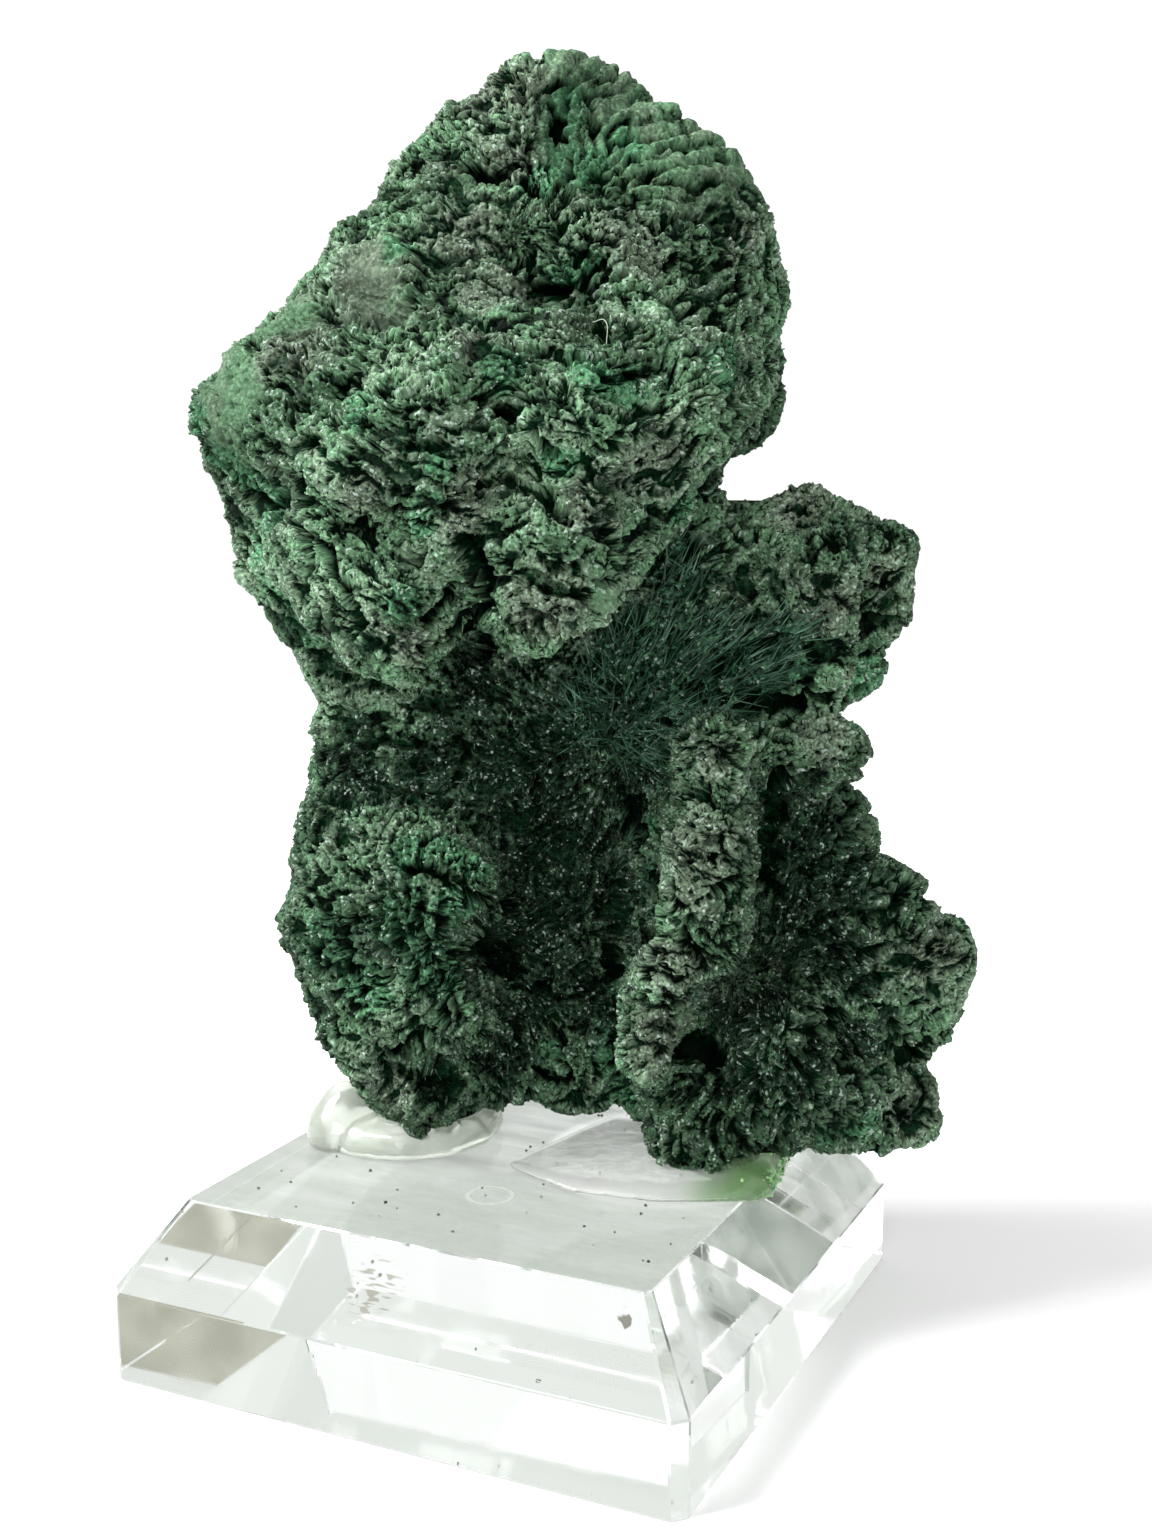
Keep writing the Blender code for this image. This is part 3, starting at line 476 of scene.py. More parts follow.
VELVET_SPOTS = [
    (2.4, 2.1, 41.6, 8.5), (1.6, 1, 34.5, 7), (0.2, -0.8, 47.7, 7.5), (-6.1, -0.8, 47.7, 5.5),
    (-12.5, 0.6, 46.7, 4), (23, -3.1, 42.2, 4.5), (23, -4.2, 37.3, 4.5), (5.6, -0.7, 28.3, 4),
    (0.1, -1.6, 28.6, 4), (19.5, -5.6, 29.7, 4), (21.1, -2.7, 46, 3.5), (23, -8.3, 25.8, 4),
    (-4.7, -0, 54.6, 4), (-3, -2.9, 33, 3), (26.2, -3.1, 39.4, 3.2), (20.7, -4, 33.6, 3.2),
    (25.3, -4.6, 32.6, 3.6), (17.5, -6.3, 27.5, 3), (9.1, -1.2, 47, 3.5), (8, 1.5, 36, 3.5),
    (18.5, -8.1, 22.9, 3), (28.5, -2.6, 26.4, 3), (-2.3, -2.7, 24, 3.5), (-7.1, -2.8, 22.4, 3),
    (-14.8, 0.7, 49.5, 3)]
SILK_SPOTS = [
    (13.3, -2.7, 56.5, 6), (8, -1.2, 52.9, 4.5), (10.1, -1.7, 56.9, 4.5), (18.6, -3.1, 56.9, 4),
    (10.3, -1.5, 49.4, 3), (11.7, -3.1, 63.8, 3), (20.5, -3.2, 56.5, 2.5)]

# The lit column that stands out in front of the lower half, kept out of the painted shade below the head.
FINGER_SPOTS = [(13.8, -14.3, 47.0, 3.2), (13.8, -14.3, 43.0, 3.6), (13.0, -14.3, 38.0, 3.8),
                (11.5, -13.5, 32.5, 3.8), (10.5, -12.0, 27.0, 3.4)]


def nudged(mesh):
    """Moves the skin's points by the nudges."""
    places, _ = in_stone_frame(mesh)
    moved = places.copy()
    for centre, reach, push in NUDGES:
        far = np.linalg.norm(places - np.array(centre), axis=1) / reach
        moved += np.array(push) * (1.0 - ease(far, 0.15, 1.0))[:, None]
    turn = np.array(Matrix.Rotation(STONE_TURN, 3, "Z"))
    mesh.vertices.foreach_set("co", (moved @ turn.T * MM).ravel())
    mesh.update()


def in_stone_frame(mesh):
    """A mesh's points and normals in the stone's frame, the points in millimetres."""
    places = np.empty(len(mesh.vertices) * 3)
    mesh.vertices.foreach_get("co", places)
    normals = np.empty(len(mesh.vertices) * 3)
    mesh.vertices.foreach_get("normal", normals)
    turn = np.array(Matrix.Rotation(-STONE_TURN, 3, "Z"))
    return places.reshape(-1, 3) @ turn.T / MM, normals.reshape(-1, 3) @ turn.T


def ease(values, low, high):
    """0 below low, 1 above high, smooth between, for an array."""
    share = np.clip((values - low) / (high - low), 0.0, 1.0)
    return share * share * (3.0 - 2.0 * share)


def wander(places, step, reach):
    """A slow wobble of the points, so that nothing laid out on them has a straight edge."""
    moved = places.copy()
    for axis in range(3):
        first = places[:, (axis + 1) % 3] / step
        second = places[:, (axis + 2) % 3] / step
        moved[:, axis] += reach * (np.sin(2.1 * first + 1.7 * np.sin(1.3 * second + axis))
                                   + 0.6 * np.sin(4.7 * second + 2.3 * np.sin(2.9 * first)))
    return moved


def spotted(places, spots, edge=(0.55, 1.25)):
    """How much of a kind of spot there is at each point, from 0 to 1."""
    share = np.zeros(len(places))
    for *centre, reach in spots:
        far = np.linalg.norm(places - np.array(centre), axis=1) / reach
        share = np.maximum(share, 1.0 - ease(far, *edge))
    return share


def gap_depth(places):
    """How deep the gaps in the crust are at each point, in millimetres."""
    depth = np.zeros(len(places))
    for width, deep, *line in GAPS:
        for start, end in zip(line, line[1:]):
            start = np.array(start)
            along = np.array(end) - start
            near = np.flatnonzero(np.linalg.norm(places - start - along / 2.0, axis=1)
                                  < np.linalg.norm(along) / 2.0 + 2.0 * width)
            share = np.clip((places[near] - start) @ along / (along @ along), 0.0, 1.0)
            far = np.linalg.norm(places[near] - start - share[:, None] * along, axis=1)
            depth[near] = np.maximum(depth[near], deep * (1.0 - ease(far / width, 0.12, 0.72)))
    return depth


def carved(places, rugged):
    """How far the fans' ribs and the plates stand up, less the gaps, in millimetres."""
    height = -gap_depth(rugged)
    for (centre_u, centre_w), (first, last), reach, pitch, rise in RIB_FANS:
        far = np.hypot(places[:, 0] - centre_u, places[:, 2] - centre_w)
        bearing = np.degrees(np.arctan2(places[:, 2] - centre_w, places[:, 0] - centre_u))
        bearing = np.where(bearing < first - 30.0, bearing + 360.0, bearing)
        ridge = np.abs(np.sin(np.pi * (bearing + 0.5 * pitch * np.sin(0.45 * far)) / pitch))
        share = ease(bearing, first - 6.0, first + 6.0) * (1.0 - ease(bearing, last - 6.0, last + 6.0))
        share *= ease(far, 1.5, 6.0) * (1.0 - ease(far, 0.8 * reach, reach))
        height += rise * share * (np.sqrt(ridge) - 0.75)
    for *centre, reach, rise in PLATES:
        far = np.linalg.norm(rugged - np.array(centre), axis=1) / reach
        height += rise * (1.0 - ease(far, 0.80, 1.0))
    return height


def write_field(mesh, name, kind, values):
    """Stores one value per point under a name."""
    field = mesh.attributes.new(name, kind, "POINT")
    key = "vector" if kind == "FLOAT_VECTOR" else "value"
    field.data.foreach_set(key, np.ascontiguousarray(values, dtype=np.float32).ravel())


def lay_out_skin(mesh):
    """Stores on the skin which way it grew, what kind of skin it is at each point, and the painted shade
    below the head, kept with the bare fibre.
    """
    places, normals = in_stone_frame(mesh)
    loose = wander(places, 5.0, 0.9)
    u, v, w = loose.T
    arc = w - 0.018 * (u + 1.0) ** 2 + 0.05 * u
    grain = np.stack([u / 3.2, v / 2.2, arc], 1)
    on_head = w > HEAD_FOOT
    for index, (centre, reach) in enumerate(SPRAYS):
        ray = loose - np.array(centre)
        far = np.linalg.norm(ray, axis=1)
        flat = np.hypot(ray[:, 0], ray[:, 2])
        bearing = np.arctan2(ray[:, 2], ray[:, 0])
        lean = np.arctan2(ray[:, 1], flat)
        spray = np.stack([far / 7.0, 11.0 * bearing, 11.0 * lean + 40.0 * index], 1)
        if index == 0:
            inside = on_head & (ray[:, 0] > -1.0) & (ray[:, 2] > -3.5 + 0.1 * ray[:, 0]) & (flat < 24.0)
        else:
            others = [np.linalg.norm(loose - np.array(other), axis=1) / size
                      for other, size in SPRAYS[1:]]
            inside = ~on_head & (np.argmin(others, axis=0) == index - 1)
        grain[inside] = spray[inside]
    shelled = on_head & (u > SHELL_SIDE)
    grain[shelled] = np.stack([w / 3.0, v + 0.4 * u, u / 1.5 + 90.0], 1)[shelled]
    rugged = wander(wander(places, 2.3, 0.4), 0.7, 0.12)
    write_field(mesh, "seat", "FLOAT_VECTOR", places)
    write_field(mesh, "grain", "FLOAT_VECTOR", grain)
    write_field(mesh, "carving", "FLOAT", carved(wander(places, 4.0, 0.5), rugged))
    write_field(mesh, "bright", "FLOAT", spotted(wander(places, 2.5, 0.4), BRIGHT_SPOTS))
    write_field(mesh, "brown", "FLOAT", spotted(wander(places, 2.5, 0.5), BROWN_SPOTS))
    ray = loose - np.array(SPRAYS[0][0])
    fan = ease(ray[:, 0], 0.0, 3.0) * ease(ray[:, 2], 0.0, 3.0) * on_head
    write_field(mesh, "even", "FLOAT", np.maximum(0.62 * fan, 0.8 * spotted(loose, SMOOTH_SPOTS)))
    silk = spotted(loose, SILK_SPOTS)
    # Painted shade: below the head and left of its right side, all but the lit column gets a third of the
    # dark fibre colour, for the shade under the head's overhang; it roughens the relief there a little too.
    shaded = 0.34 * (1.0 - ease(w, 44.0, 52.0)) * (1.0 - ease(u, 26.0, 31.0))
    shaded *= 1.0 - spotted(loose, FINGER_SPOTS)
    velvet_and_shade = spotted(wander(places, 3.0, 1.0), VELVET_SPOTS, (0.30, 1.45))
    write_field(mesh, "silk", "FLOAT", silk)
    write_field(mesh, "velvet_and_shade", "FLOAT", np.maximum(silk, np.maximum(shaded, velvet_and_shade)))


def moved_by_noise(tree, place, seat, scale, reach):
    """Shifts a place by a noise laid on the seat, up to a reach for each axis."""
    wave = put(tree, "ShaderNodeTexNoise", {"Vector": seat, "Scale": scale, "Detail": 2.0}).outputs["Color"]
    shift = put(tree, "ShaderNodeVectorMath", {0: wave, 1: HALVES}, operation="SUBTRACT").outputs[0]
    return put(tree, "ShaderNodeVectorMath", {0: shift, 1: reach, 2: place},
               operation="MULTIPLY_ADD").outputs[0]


def chips(tree, place, scale, reach):
    """Flat chips of crust, each tilted and set in its own way: gives their rise."""
    cell = put(tree, "ShaderNodeTexVoronoi", {"Vector": place, "Scale": scale})
    off_middle = put(tree, "ShaderNodeVectorMath", {0: place, 1: cell.outputs["Position"]},
                     operation="SUBTRACT").outputs[0]
    lean = put(tree, "ShaderNodeVectorMath", {0: cell.outputs["Color"], 1: HALVES},
               operation="SUBTRACT").outputs[0]
    tilt = put(tree, "ShaderNodeVectorMath", {0: off_middle, 1: lean},
               operation="DOT_PRODUCT").outputs["Value"]
    step = put(tree, "ShaderNodeSeparateXYZ", {0: lean}).outputs[1]
    tilt = times(tree, tilt, CHIP_TILT * scale * reach)
    return plus(tree, tilt, times(tree, step, reach))


def skin_pattern(tree, grain, seat, velvet_and_shade, even):
    """The crust's own pattern, the same in its shape and its finish: gives its rise in mm."""
    bent = moved_by_noise(tree, grain, seat, 0.26, (0.7, 0.6, 0.6))
    bent = moved_by_noise(tree, bent, seat, 1.3, (0.10, 0.13, 0.13))
    edge = put(tree, "ShaderNodeTexVoronoi", {"Vector": bent, "Scale": 0.95},
               feature="DISTANCE_TO_EDGE").outputs["Distance"]
    split = times(tree, spread(tree, edge, 0.01, 0.11, 1.0, 0.0),
                  spread(tree, noise(tree, bent, 0.4), 0.50, 0.60))
    rise = plus(tree, chips(tree, bent, 0.95, 0.44), chips(tree, seat, 1.05, 0.20))
    flake = noise(tree, bent, 1.10, 3.0, 0.62)
    rise = plus(tree, rise, spread(tree, flake, 0.355, 0.405, -0.80, 0.10))
    terrace = noise(tree, bent, 0.85)
    rise = plus(tree, rise, spread(tree, terrace, 0.40, 0.49, -0.70, 0.14))
    rise = minus(tree, rise, times(tree, split, 0.70))
    pore = noise(tree, seat, 1.5)
    rise = minus(tree, rise, spread(tree, pore, 0.60, 0.64, 0.0, 0.80))
    hole = noise(tree, seat, 0.7)
    rise = minus(tree, rise, spread(tree, hole, 0.63, 0.67, 0.0, 0.95))
    calm = sums(tree, "MAXIMUM", times(tree, velvet_and_shade, 0.05), times(tree, even, 0.85))
    rise = times(tree, rise, minus(tree, 1.0, calm))
    grain_fine = noise(tree, seat, 2.4, 2.0, 0.6)
    bristle = times(tree, spread(tree, grain_fine, 0.36, 0.64, -0.22, 0.22),
                    plus(tree, times(tree, velvet_and_shade, 0.85), 0.15))
    return plus(tree, rise, bristle)


def field(tree, name, kind="FLOAT"):
    """Reads a stored field inside a geometry tree."""
    return put(tree, "GeometryNodeInputNamedAttribute", {"Name": name},
               data_type=kind).outputs["Attribute"]


def crust_relief():
    """The shape of the crust: its pattern, its slow swells and its gaps, along the normals."""
    tree = bpy.data.node_groups.new("crust_relief", "GeometryNodeTree")
    tree.interface.new_socket("Geometry", in_out="INPUT", socket_type="NodeSocketGeometry")
    tree.interface.new_socket("Geometry", in_out="OUTPUT", socket_type="NodeSocketGeometry")
    start = tree.nodes.new("NodeGroupInput")
    end = tree.nodes.new("NodeGroupOutput")
    seat = field(tree, "seat", "FLOAT_VECTOR")
    rise = skin_pattern(tree, field(tree, "grain", "FLOAT_VECTOR"), seat,
                        field(tree, "velvet_and_shade"), field(tree, "even"))
    swell = noise(tree, seat, 0.2)
    lift = plus(tree, times(tree, rise, RELIEF_SHARE), spread(tree, swell, 0.3, 0.7, -0.30, 0.20))
    lift = plus(tree, lift, field(tree, "carving"))
    kept = put(tree, "GeometryNodeStoreNamedAttribute",
               {"Geometry": start.outputs[0], "Name": "rise", "Value": rise},
               data_type="FLOAT", domain="POINT")
    offset = put(tree, "ShaderNodeVectorMath", {0: put(tree, "GeometryNodeInputNormal").outputs[0],
                                                3: times(tree, lift, MM)},
                 operation="SCALE").outputs[0]
    moved = put(tree, "GeometryNodeSetPosition", {"Geometry": kept.outputs[0], "Offset": offset})
    tree.links.new(moved.outputs[0], end.inputs[0])
    return tree


def kept_field(tree, name, output="Fac"):
    """Reads a stored field inside a material."""
    return put(tree, "ShaderNodeAttribute", attribute_name=name).outputs[output]


def tinted(tree, colour, shade):
    """Multiplies a colour by a grey shade."""
    mix = put(tree, "ShaderNodeMix", {0: 1.0}, data_type="RGBA", blend_type="MULTIPLY")
    tree.links.new(colour, mix.inputs[6])
    tree.links.new(shade, mix.inputs[7])
    return mix.outputs[2]


malachite, tree, shader = new_finish("malachite_crust", Specular_IOR_Level=0.05)
seat = kept_field(tree, "seat", "Vector")
grain = kept_field(tree, "grain", "Vector")
velvet_and_shade = kept_field(tree, "velvet_and_shade")
even = kept_field(tree, "even")
rise = skin_pattern(tree, grain, seat, velvet_and_shade, even)
height = plus(tree, rise, times(tree, kept_field(tree, "carving"), 0.6))
mottle = noise(tree, seat, 0.32, 3.0)
cloud = noise(tree, seat, 0.13)
grit = noise(tree, seat, 3.6, 3.0, 0.65)
streak = noise(tree, grain, 3.0, 3.0)
sparkle = put(tree, "ShaderNodeTexVoronoi", {"Vector": seat, "Scale": 5.0}).outputs["Color"]
crust = blend_colours(tree, spread(tree, mottle, 0.42, 0.60), (0.074, 0.150, 0.080), (0.106, 0.166, 0.104))
crust = blend_colours(tree, times(tree, kept_field(tree, "brown"), 0.75), crust, (0.112, 0.142, 0.102))
crust = blend_colours(tree, kept_field(tree, "bright"), crust, (0.062, 0.168, 0.084))
crust = tinted(tree, crust, spread(tree, cloud, 0.38, 0.62, 0.65, 1.25))
fibre = blend_colours(tree, spread(tree, streak, 0.40, 0.66), (0.002, 0.009, 0.004), (0.022, 0.048, 0.026))
silk = blend_colours(tree, spread(tree, streak, 0.40, 0.60), (0.003, 0.016, 0.008), (0.050, 0.125, 0.068))
# The bare fibre's dark colour, laid fully on the velvet spots, and a third of the way on below the head as
# painted shade.
surface = blend_colours(tree, velvet_and_shade, crust, fibre)
surface = blend_colours(tree, kept_field(tree, "silk"), surface, silk)
# Painted shade: where the skin stands low, in its pits, hollows and gaps, the colour goes to a near-black
# green, for the shade that falls inside them.
deep = blend_colours(tree, spread(tree, mottle, 0.4, 0.6), (0.0005, 0.004, 0.0015), (0.002, 0.018, 0.006))
colour = blend_colours(tree, spread(tree, height, -0.85, 0.00), deep, surface)
crumb = chips(tree, seat, 3.2, 1.0)
speckle = times(tree, spread(tree, crumb, -0.8, 0.8, 0.60, 1.40),
                spread(tree, grit, 0.36, 0.66, 0.60, 1.40))
# Pinholes: a small dent in the bump, and painted shade that darkens the colour in each one.
pins = noise(tree, seat, 2.7)
shaded_pinholes = times(tree, spread(tree, pins, 0.61, 0.64), minus(tree, 1.0, even))
speckle = times(tree, speckle, minus(tree, 1.0, times(tree, shaded_pinholes, 0.85)))
plain = times(tree, even, 0.6)
speckle = plus(tree, times(tree, speckle, minus(tree, 1.0, plain)), times(tree, plain, 0.60))
glint = times(tree, spread(tree, sparkle, 0.75, 0.82), spread(tree, height, -0.2, 0.5, 0.0, 0.55))
glint = times(tree, glint, minus(tree, 1.0, even))
colour = blend_colours(tree, glint, tinted(tree, colour, speckle), (0.44, 0.55, 0.47))
tree.links.new(colour, shader.inputs["Base Color"])
tree.links.new(spread(tree, grit, 0.35, 0.7, 0.75, 0.45), shader.inputs["Roughness"])
fine = plus(tree, times(tree, crumb, 0.055), times(tree, rise, 0.24))
fine = plus(tree, fine, times(tree, grit, 0.12))
fine = minus(tree, fine, times(tree, shaded_pinholes, 0.06))
roughened(tree, shader, fine, 0.7, 0.0010)

stone_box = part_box("malachite")
skin = loose_copy("malachite", "stone_skin")
shaped_by(skin, "SUBSURF", levels=1, render_levels=1)
shaped_by(skin, "REMESH", mode="VOXEL", voxel_size=SKIN_VOXEL)
shaped_by(skin, "SMOOTH", factor=0.5, iterations=4)
nudged(skin.data)
lay_out_skin(skin.data)
shaped_by(skin, "NODES", node_group=crust_relief())
points = np.empty(len(skin.data.vertices) * 3)
skin.data.vertices.foreach_get("co", points)
points = points.reshape(-1, 3)
for limit, side in ((np.array(stone_box[0]), -1.0), (np.array(stone_box[1]), 1.0)):
    over = side * (points - limit) / SOFT_EDGE + 1.0
    over = np.where(over > 0.0, 1.0 - np.exp(-np.maximum(over, 0.0)), over)
    points = limit + side * (over - 1.0) * SOFT_EDGE
skin.data.vertices.foreach_set("co", points.ravel())
skin.data.update()
skin.data.materials.clear()
skin.data.materials.append(malachite)
skin_places, skin_normals = in_stone_frame(skin.data)
skin_fields = {}
for name in ("velvet_and_shade", "silk", "rise", "even"):
    skin_fields[name] = np.empty(len(points), dtype=np.float32)
    skin.data.attributes[name].data.foreach_get("value", skin_fields[name])


def keep_side(piece, distance, normal):
    """Cuts a piece by a plane, closes the cut and keeps the side that the normal points to."""
    pick(piece)
    bpy.ops.object.mode_set(mode="EDIT")
    bpy.ops.mesh.select_all(action="SELECT")
    bpy.ops.mesh.bisect(plane_co=normal * distance * MM, plane_no=normal, use_fill=True,
                        clear_inner=True)
    bpy.ops.mesh.mark_sharp()
    bpy.ops.object.mode_set(mode="OBJECT")


def part_in_two(piece, distance, normal, names):
    """Parts a piece by a plane into two closed pieces, the side away from the normal first."""
    other = bpy.data.objects.new(names[1], piece.data.copy())
    bpy.context.scene.collection.objects.link(other)
    piece.name = names[0]
    keep_side(piece, -distance, -normal)
    keep_side(other, distance, normal)
    return [piece, other]


across = Matrix.Rotation(STONE_TURN, 3, "Z") @ Vector((1.0, 0.0, 0.0))
away = Matrix.Rotation(STONE_TURN, 3, "Z") @ Vector((0.0, 1.0, 0.0))
lengths = part_in_two(skin, WAIST_HEIGHT, Vector((0.0, 0.0, 1.0)), ("malachite_foot", "malachite_head"))
halves = [half for piece in lengths for half in
          part_in_two(piece, SPINE_DEPTH, away, (piece.name + "_face", piece.name + "_back"))]
parts = [part for piece in halves for part in
         part_in_two(piece, FOOT_MIDDLE if "foot" in piece.name else HEAD_MIDDLE, across,
                     (piece.name + "_left", piece.name + "_right"))]
for piece in parts:
    pick(piece)
    bpy.ops.object.shade_smooth()
    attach(piece, "root")
    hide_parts("malachite")

# ---------------------------------------------------------------------------------------
# THE NEEDLES, THE GRAINS AND THE DUST
# Where the crust is worn away, the ends of the fibres stand out: short dark needles in the
# hollows, and long silky ones that fan out over the middle. Loose grains of crust sit on the
# crests, bright crumbs on the glue, dark specks on the block, and a hair hangs in a hollow.
# ---------------------------------------------------------------------------------------
NEEDLE_SHARE = 0.11
SILK_SHARE = 0.17
THIRD_TURNS = (0.0, 2.0944, 4.1888)
GRAIN_SHARE = 0.05
FRINGE_COUNT = 260
FRINGE_SCATTER = 0.45
FRINGE_LINE = [(21.7, -0.6, 14.9), (22.0, 1.5, 15.2), (21.6, 4.8, 15.6), (21.1, 8.0, 15.8),
               (20.5, 11.1, 16.0), (19.9, 15.0, 16.2)]
SPECK_COUNT = 46
SEEN_SPECKS = [(-14.5, -7.2), (1.2, -9.4), (4.4, -5.3), (4.0, -1.8), (8.2, -2.3), (13.2, -14.5),
               (18.5, -11.9), (18.2, -15.5), (-0.4, 1.0), (-0.3, -14.5), (-5.9, -11.4)]
BLOCK_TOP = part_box("acrylic_base")[1][2]
HAIR_RADIUS = 0.000028
HAIR_LINE = [(5.8, -9.2, 83.3), (6.7, -10.2, 83.3), (6.8, -10.6, 81.5)]
draw = np.random.default_rng(11)


def shared_by_sprays(places):
    """The way that the fibres run at each place: straight out from the nearest spray's centre."""
    sizes = [np.linalg.norm(places - np.array(centre), axis=1) / reach for centre, reach in SPRAYS]
    centres = np.array([centre for centre, _ in SPRAYS])[np.argmin(sizes, axis=0)]
    ways = places - centres
    return ways / np.linalg.norm(ways, axis=1)[:, None]


def unit(ways):
    """The same ways, each one long."""
    return ways / np.linalg.norm(ways, axis=1)[:, None]


def many(name, places, faces, material):
    """One piece of many small closed bodies, given in the stone's frame."""
    turn = np.array(Matrix.Rotation(STONE_TURN, 3, "Z"))
    mesh = bpy.data.meshes.new(name)
    mesh.from_pydata((places @ turn.T * MM).tolist(), [], faces.tolist())
    mesh.materials.append(material)
    piece = bpy.data.objects.new(name, mesh)
    bpy.context.scene.collection.objects.link(piece)
    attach(piece, "root")
    return piece


def spikes(name, roots, ways, lengths, widths, material):
    """Three-sided closed spikes, each from its root along its way."""
    side = unit(np.cross(ways, draw.normal(size=ways.shape)))
    up = np.cross(ways, side)
    corners = [roots + widths[:, None] * (math.cos(turn) * side + math.sin(turn) * up)
               for turn in THIRD_TURNS]
    places = np.stack(corners + [roots + ways * lengths[:, None]], 1).reshape(-1, 3)
    first = 4 * np.arange(len(roots))[:, None]
    faces = np.concatenate([first + np.array(face) for face in
                            ((0, 1, 3), (1, 2, 3), (2, 0, 3), (2, 1, 0))], 1).reshape(-1, 3)
    piece = many(name, places, faces, material)
    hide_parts("malachite")
    write_field(piece.data, "shade", "FLOAT", np.repeat(draw.random(len(roots)), 4))
    return piece


needle_finish, tree, shader = new_finish("malachite_needles", Specular_IOR_Level=0.35, Roughness=0.42)
shade = kept_field(tree, "shade")
here = own_place(tree)
tuft = noise(tree, here, 420.0)
lit = times(tree, sums(tree, "POWER", shade, 4.0), spread(tree, tuft, 0.42, 0.60, 0.10, 1.0))
colour = blend_colours(tree, lit, (0.002, 0.009, 0.004), (0.130, 0.230, 0.150))
tree.links.new(colour, shader.inputs["Base Color"])
silk_finish, tree, shader = new_finish("malachite_silk", Specular_IOR_Level=0.40, Roughness=0.38)
shade = kept_field(tree, "shade")
here = own_place(tree)
tuft = noise(tree, here, 260.0)
colour = blend_colours(tree, times(tree, shade, spread(tree, tuft, 0.38, 0.62, 0.2, 1.0)),
                       (0.004, 0.022, 0.011), (0.095, 0.220, 0.130))
tree.links.new(colour, shader.inputs["Base Color"])

rays = shared_by_sprays(skin_places)
bare = skin_fields["velvet_and_shade"] * (1.0 - skin_fields["silk"])
chosen = np.flatnonzero(draw.random(len(rays)) < NEEDLE_SHARE * ease(bare, 0.3, 0.7))
ways = unit(0.8 * skin_normals[chosen] + 0.7 * rays[chosen] + 0.45 * draw.normal(size=(len(chosen), 3)))
long = draw.uniform(0.25, 0.70, len(chosen))
spikes("velvet_needles", skin_places[chosen] - 0.12 * ways, ways, long,
       draw.uniform(0.06, 0.12, len(chosen)), needle_finish)
chosen = np.flatnonzero(draw.random(len(rays)) < SILK_SHARE * ease(skin_fields["silk"], 0.25, 0.8))
flat = rays[chosen] - skin_normals[chosen] * np.sum(rays[chosen] * skin_normals[chosen], 1)[:, None]
ways = unit(unit(flat) + 0.10 * skin_normals[chosen] + 0.04 * draw.normal(size=(len(chosen), 3)))
long = draw.uniform(1.6, 3.8, len(chosen))
spikes("silk_fibres", skin_places[chosen] - 0.25 * skin_normals[chosen], ways, long,
       draw.uniform(0.05, 0.11, len(chosen)), silk_finish)

sitting = ease(skin_fields["rise"], 0.05, 0.3)
sitting = sitting * (1.0 - np.maximum(0.6 * skin_fields["velvet_and_shade"], skin_fields["even"]))
chosen = np.flatnonzero(draw.random(len(rays)) < GRAIN_SHARE * sitting)


def crumbs(name, middles, sizes, material):
    """One piece of many small eight-sided crumbs, given by their middles in the stone's frame."""
    first_way = unit(draw.normal(size=middles.shape))
    second_way = unit(np.cross(first_way, draw.normal(size=middles.shape)))
    third_way = np.cross(first_way, second_way)
    corners = []
    for way in (first_way, second_way, third_way):
        for sign in (1.0, -1.0):
            corners.append(middles + sign * way * sizes[:, None] * draw.uniform(0.6, 1.2, (len(middles), 1)))
    first = 6 * np.arange(len(middles))[:, None]
    faces = np.concatenate([first + np.array(face) for face in
                            ((0, 2, 4), (2, 1, 4), (1, 3, 4), (3, 0, 4),
                             (2, 0, 5), (1, 2, 5), (3, 1, 5), (0, 3, 5))], 1).reshape(-1, 3)
    piece = many(name, np.stack(corners, 1).reshape(-1, 3), faces, material)
    write_field(piece.data, "shade", "FLOAT", np.repeat(draw.random(len(middles)), 6))
    return piece


def crumb_finish(name, dark, light):
    """Matt mineral crumbs, each of its own shade."""
    finish, tree, shader = new_finish(name, Specular_IOR_Level=0.25, Roughness=0.5)
    tree.links.new(blend_colours(tree, kept_field(tree, "shade"), dark, light), shader.inputs["Base Color"])
    return finish


grains = crumbs("crust_grains", skin_places[chosen], draw.uniform(0.07, 0.16, len(chosen)),
                crumb_finish("malachite_grains", (0.030, 0.070, 0.038), (0.200, 0.290, 0.205)))
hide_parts("malachite")

# Bright green dust of the stone, caught along the pool's right edge.
unturn = np.array(Matrix.Rotation(STONE_TURN, 3, "Z"))
pool = beads["glue_pool"]
caught = []
for _ in range(FRINGE_COUNT):
    step = draw.random() * (len(FRINGE_LINE) - 1)
    corner = min(int(step), len(FRINGE_LINE) - 2)
    near = Vector(FRINGE_LINE[corner]).lerp(Vector(FRINGE_LINE[corner + 1]), step - corner)
    near += Vector(draw.normal(size=3)) * FRINGE_SCATTER
    caught.append(pool.closest_point_on_mesh(near * MM)[1] / MM)
crumbs("fringe_crumbs", np.array(caught) @ unturn, draw.uniform(0.10, 0.26, FRINGE_COUNT),
       crumb_finish("bright_dust", (0.045, 0.170, 0.045), (0.240, 0.440, 0.190)))

# Dark specks of dust on the block's top: some where they were seen, more strewn at random.
strewn = np.concatenate([np.array(SEEN_SPECKS), draw.uniform(-18.0, 18.0, (SPECK_COUNT, 2))])
specks = np.concatenate([strewn, np.full((len(strewn), 1), BLOCK_TOP / MM + 0.04)], 1)
crumbs("block_dust", specks @ unturn, draw.uniform(0.07, 0.19, len(strewn)),
       crumb_finish("dark_dust", (0.020, 0.024, 0.018), (0.110, 0.120, 0.090)))

